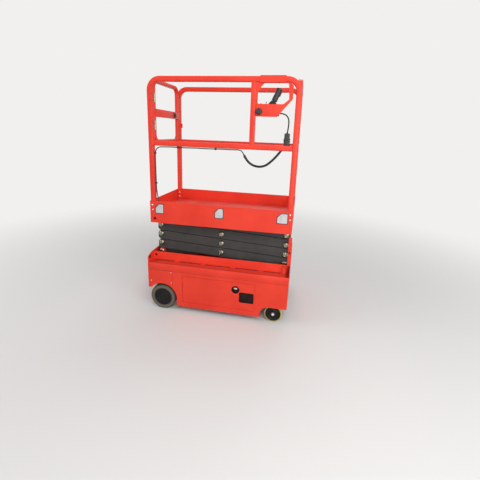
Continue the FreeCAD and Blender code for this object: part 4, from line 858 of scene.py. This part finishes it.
# Weld beads where the mid rail and the centre post meet the loop, ground and coated over.
work = bmesh.new()
for x in (-556.3, 552.3):
    for near_y, far_y, low, high in ((-317, -281, 1423.5, 1426), (-317, -281, 1462, 1464.5),
                                     (-320.3, -317.4, 1426, 1462), (-280.6, -277.7, 1426, 1462)):
        block(work, (x, near_y, low), (x + 4, far_y, high), 1.1)
add_pair("mid_rail_welds", work, red_powder_coat, "platform")


# Gate: a 32 mm square tube frame bent on a 60 mm radius, with a flat welded plate across it, a
# black latch on the plate and two lift-off hinges of zinc-plated steel.
work = bmesh.new()
square_tube(work, 32, (-576, -189, 1452), (0, 1, 0), (1, 0, 0),
            [378, (90, 60), 356, (90, 60), 378, (90, 60), 356, (90, 60)], closed=True)
block(work, (-562.5, -258.5, 1649), (-554, 258.5, 1712), 1.2, 2)
gate = add_piece("gate_loop", work, red_powder_coat, "gate")
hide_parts("gate_frame")
work = bmesh.new()
block(work, (-554, 120, 1657.5), (-546, 160, 1703.5), 3.0, 4)
block(work, (-547, 132, 1668), (-541.5, 148, 1693), 2.0, 3)
latch = add_piece("gate_catch", work, black_abs, "gate")
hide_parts("gate_latch")
finish_nodes(zinc_plate, "gate_hinges", "hinge_pins")


# Control guard: a red plate cut to shape round the joystick. It hangs just inside the face of the
# top rail, from a strip folded over the rail, and two screws hold it to the box behind it.
finish_nodes(red_powder_coat, "control_guard")

# Control box: a moulded black ABS shell with a lid, a key switch and a toggle beside the joystick,
# and the cable's gland at its end.
work = bmesh.new()
block(work, (274, -308.6, 1676.8), (436, -200.7, 1748), 7.0, 5)
block(work, (271, -308.7, 1746), (438.5, -197.5, 1756.7), 3.5, 4)
turn(work, [(0, 0), (9, 0), (9, 5), (7.5, 7), (0, 7)], (435.5, -284.2, 1695.2),
     Vector((31, 1, -1)).normalized(), 20)
case = add_piece("control_case", work, black_abs, "platform")
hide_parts("control_box")
work = bmesh.new()
turn(work, [(0, 0), (11, 0), (11, 2.5), (9.5, 4.5), (5.5, 4.5), (5.5, 9), (4.5, 10), (0, 10)],
     (296, -252, 1756.5), (0, 0, 1), 32)
turn(work, [(0, 0), (9, 0), (9, 3), (7.5, 4), (4, 4), (3.6, 8), (3.0, 18), (3.8, 21), (2.6, 23.5),
            (0, 24)], (334, -246, 1756.5), (0.12, 0, 1), 24)
for x in (281, 429):
    for y in (-300, -206):
        button_head(work, (x, y, 1756.5), (0, 0, 1), 4)
add_piece("box_switches", work, zinc_plate, "platform")

# Joystick: a broad rubber gaiter with folds, and a thick moulded grip that leans to the right,
# with an enabling trigger down its front and a thumb rocker on top.
moulded_rubber, shader = new_finish("moulded_epdm_rubber", "#1c1b1c", 0.62)
vary_finish(moulded_rubber, shader, "#181718", "#252425", 25, 0.55, 0.7, 0.9, 0.04)
work = bmesh.new()
turn(work, [(0, 0), (33, 0), (33, 3), (31, 5), (29.5, 7), (30.5, 9.5), (26, 12), (27, 14.5),
            (22, 17), (22.5, 19), (17, 21), (17, 23.5), (13, 26), (12.5, 30), (0, 30)],
     (384, -253.7, 1756.6), (0, 0, 1), 40)
gaiter = add_piece("joystick_gaiter", work, moulded_rubber, "platform")
lean = Vector((51.5, 0, 119.5)).normalized()
across = Vector((0, 1, 0))
front = lean.cross(across)
turned = Matrix((across, front, lean)).transposed()
foot = Vector((384, -253.7, 1756.7))
work = bmesh.new()
bmesh.ops.create_circle(work, cap_ends=True, segments=32, radius=0.013,
                        matrix=Matrix.Translation((foot + lean * 18) / 1000) @ turned.to_4x4())
face = work.faces[:]
for rise, wide, deep, shift in (
        (9, 1.0, 1.0, 0), (3, 1.25, 1.55, 0), (4, 1.1, 1.06, 0), (22, 0.97, 0.97, 0.6),
        (22, 0.98, 0.96, -0.6), (24, 1.02, 1.04, -0.4), (18, 1.02, 1.02, 0.3),
        (3.4, 0.94, 0.94, 0), (1.6, 0.84, 0.84, 0)):
    made = bmesh.ops.extrude_face_region(work, geom=face)["geom"]
    verts = verts_in(made)
    face = [f for f in made if isinstance(f, bmesh.types.BMFace)]
    bmesh.ops.translate(work, vec=(lean * rise + front * shift) / 1000, verts=verts)
    centre = sum((v.co for v in verts), Vector()) / len(verts)
    space = (Matrix.Translation(centre) @ turned.to_4x4()).inverted()
    bmesh.ops.scale(work, vec=(wide, deep, 1), space=space, verts=verts)
for low, high, place in (((-8, -6, -16), (8, 6, 16), foot + lean * 88 - front * 20),
                         ((-7, -9, -2), (7, 9, 3), foot + lean * 124)):
    known = set(work.verts)
    block(work, low, high, 1.8)
    made = [v for v in work.verts if v not in known]
    bmesh.ops.transform(work, matrix=Matrix.Translation(place / 1000) @ turned.to_4x4(), verts=made)
bmesh.ops.recalc_face_normals(work, faces=work.faces)
add_piece("joystick_grip", work, black_abs, "platform", 50)
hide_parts("joystick")

# Stop button: a round black mushroom head on a black collar, on the guard plate's corner.
work = bmesh.new()
turn(work, [(0, 0), (17, 0), (17, -6), (23.8, -9), (24, -13), (23, -17), (20.5, -20), (15, -21.6),
            (10, -21.0), (5, -20.4), (0, -20.2)], (293, -313, 1703.7), (0, 1, 0), 56)
turn(work, [(17.2, 0), (23.5, 0), (23.5, -2.4), (22.5, -3.4), (17.2, -3.4)], (293, -313, 1703.7),
     (0, 1, 0), 56)
stop = add_piece("stop_head", work, black_abs, "platform")
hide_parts("stop_button")


# Cable plug: a moulded black housing on the mid rail's back, with a grey locking lever, a gland
# for the cable above and a wide angled outlet for the conduit below. The clips and glands that
# hold the post cable to the rail and post are in black enamel.
finish_nodes(black_paint, "cable_fixings")
work = bmesh.new()
block(work, (487, -279, 1452), (531, -241, 1500), 5.0, 4)
block(work, (489, -279, 1501), (529, -243, 1553), 5.0, 4)
block(work, (485.5, -279, 1497), (532.5, -239.5, 1504), 2.0, 3)
turn(work, [(0, 0), (9, 0), (9, 4), (7.6, 6), (0, 6)], (508.2, -259.6, 1552),
     Vector((6.5, -4, 47)).normalized(), 24)
down = Vector((-34, -1, -48)).normalized()
outlet = Vector((481, -260, 1438)) - down * 38
turn(work, [(0, 0), (13.2, 0), (13.2, 26), (14.4, 27), (14.4, 33), (13.2, 34), (12, 38), (0, 38)],
     outlet, down, 32)
plug = add_piece("plug_housing", work, black_abs, "platform")
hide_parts("cable_connector")
work = bmesh.new()
block(work, (483.6, -268, 1488), (486.6, -250, 1516), 1.2, 3)
block(work, (531.4, -268, 1488), (534.4, -250, 1516), 1.2, 3)
block(work, (483.6, -242, 1508), (534.4, -238.6, 1514), 1.4, 3)
add_piece("plug_lever", work, zinc_plate, "platform")


# Tongue plug: a black rubber buffer pushed into the hole of the upright tongue at the steered end.
work = bmesh.new()
turn(work, [(0, -3.2), (6, -3), (9.4, -1.8), (10.6, -0.1), (7.9, 0), (7.9, 4), (9.2, 4.1),
            (8, 6), (0, 6.4)], (594.5, -272, 602), (0, 1, 0), 32)
add_piece("tongue_plug", work, moulded_rubber, "chassis")

# End plugs: the same rubber, pushed from inside into the round hole at each corner of the left end
# plate, with the flange inside.
work = bmesh.new()
turn(work, [(0, 1.4), (10.6, 1.0), (11.8, 1.6), (11.8, 4.0), (15, 4.1), (14.4, 6.2), (0, 6.8)],
     (-608, -357, 473), (1, 0, 0), 32)
add_pair("end_plug", work, moulded_rubber, "chassis")
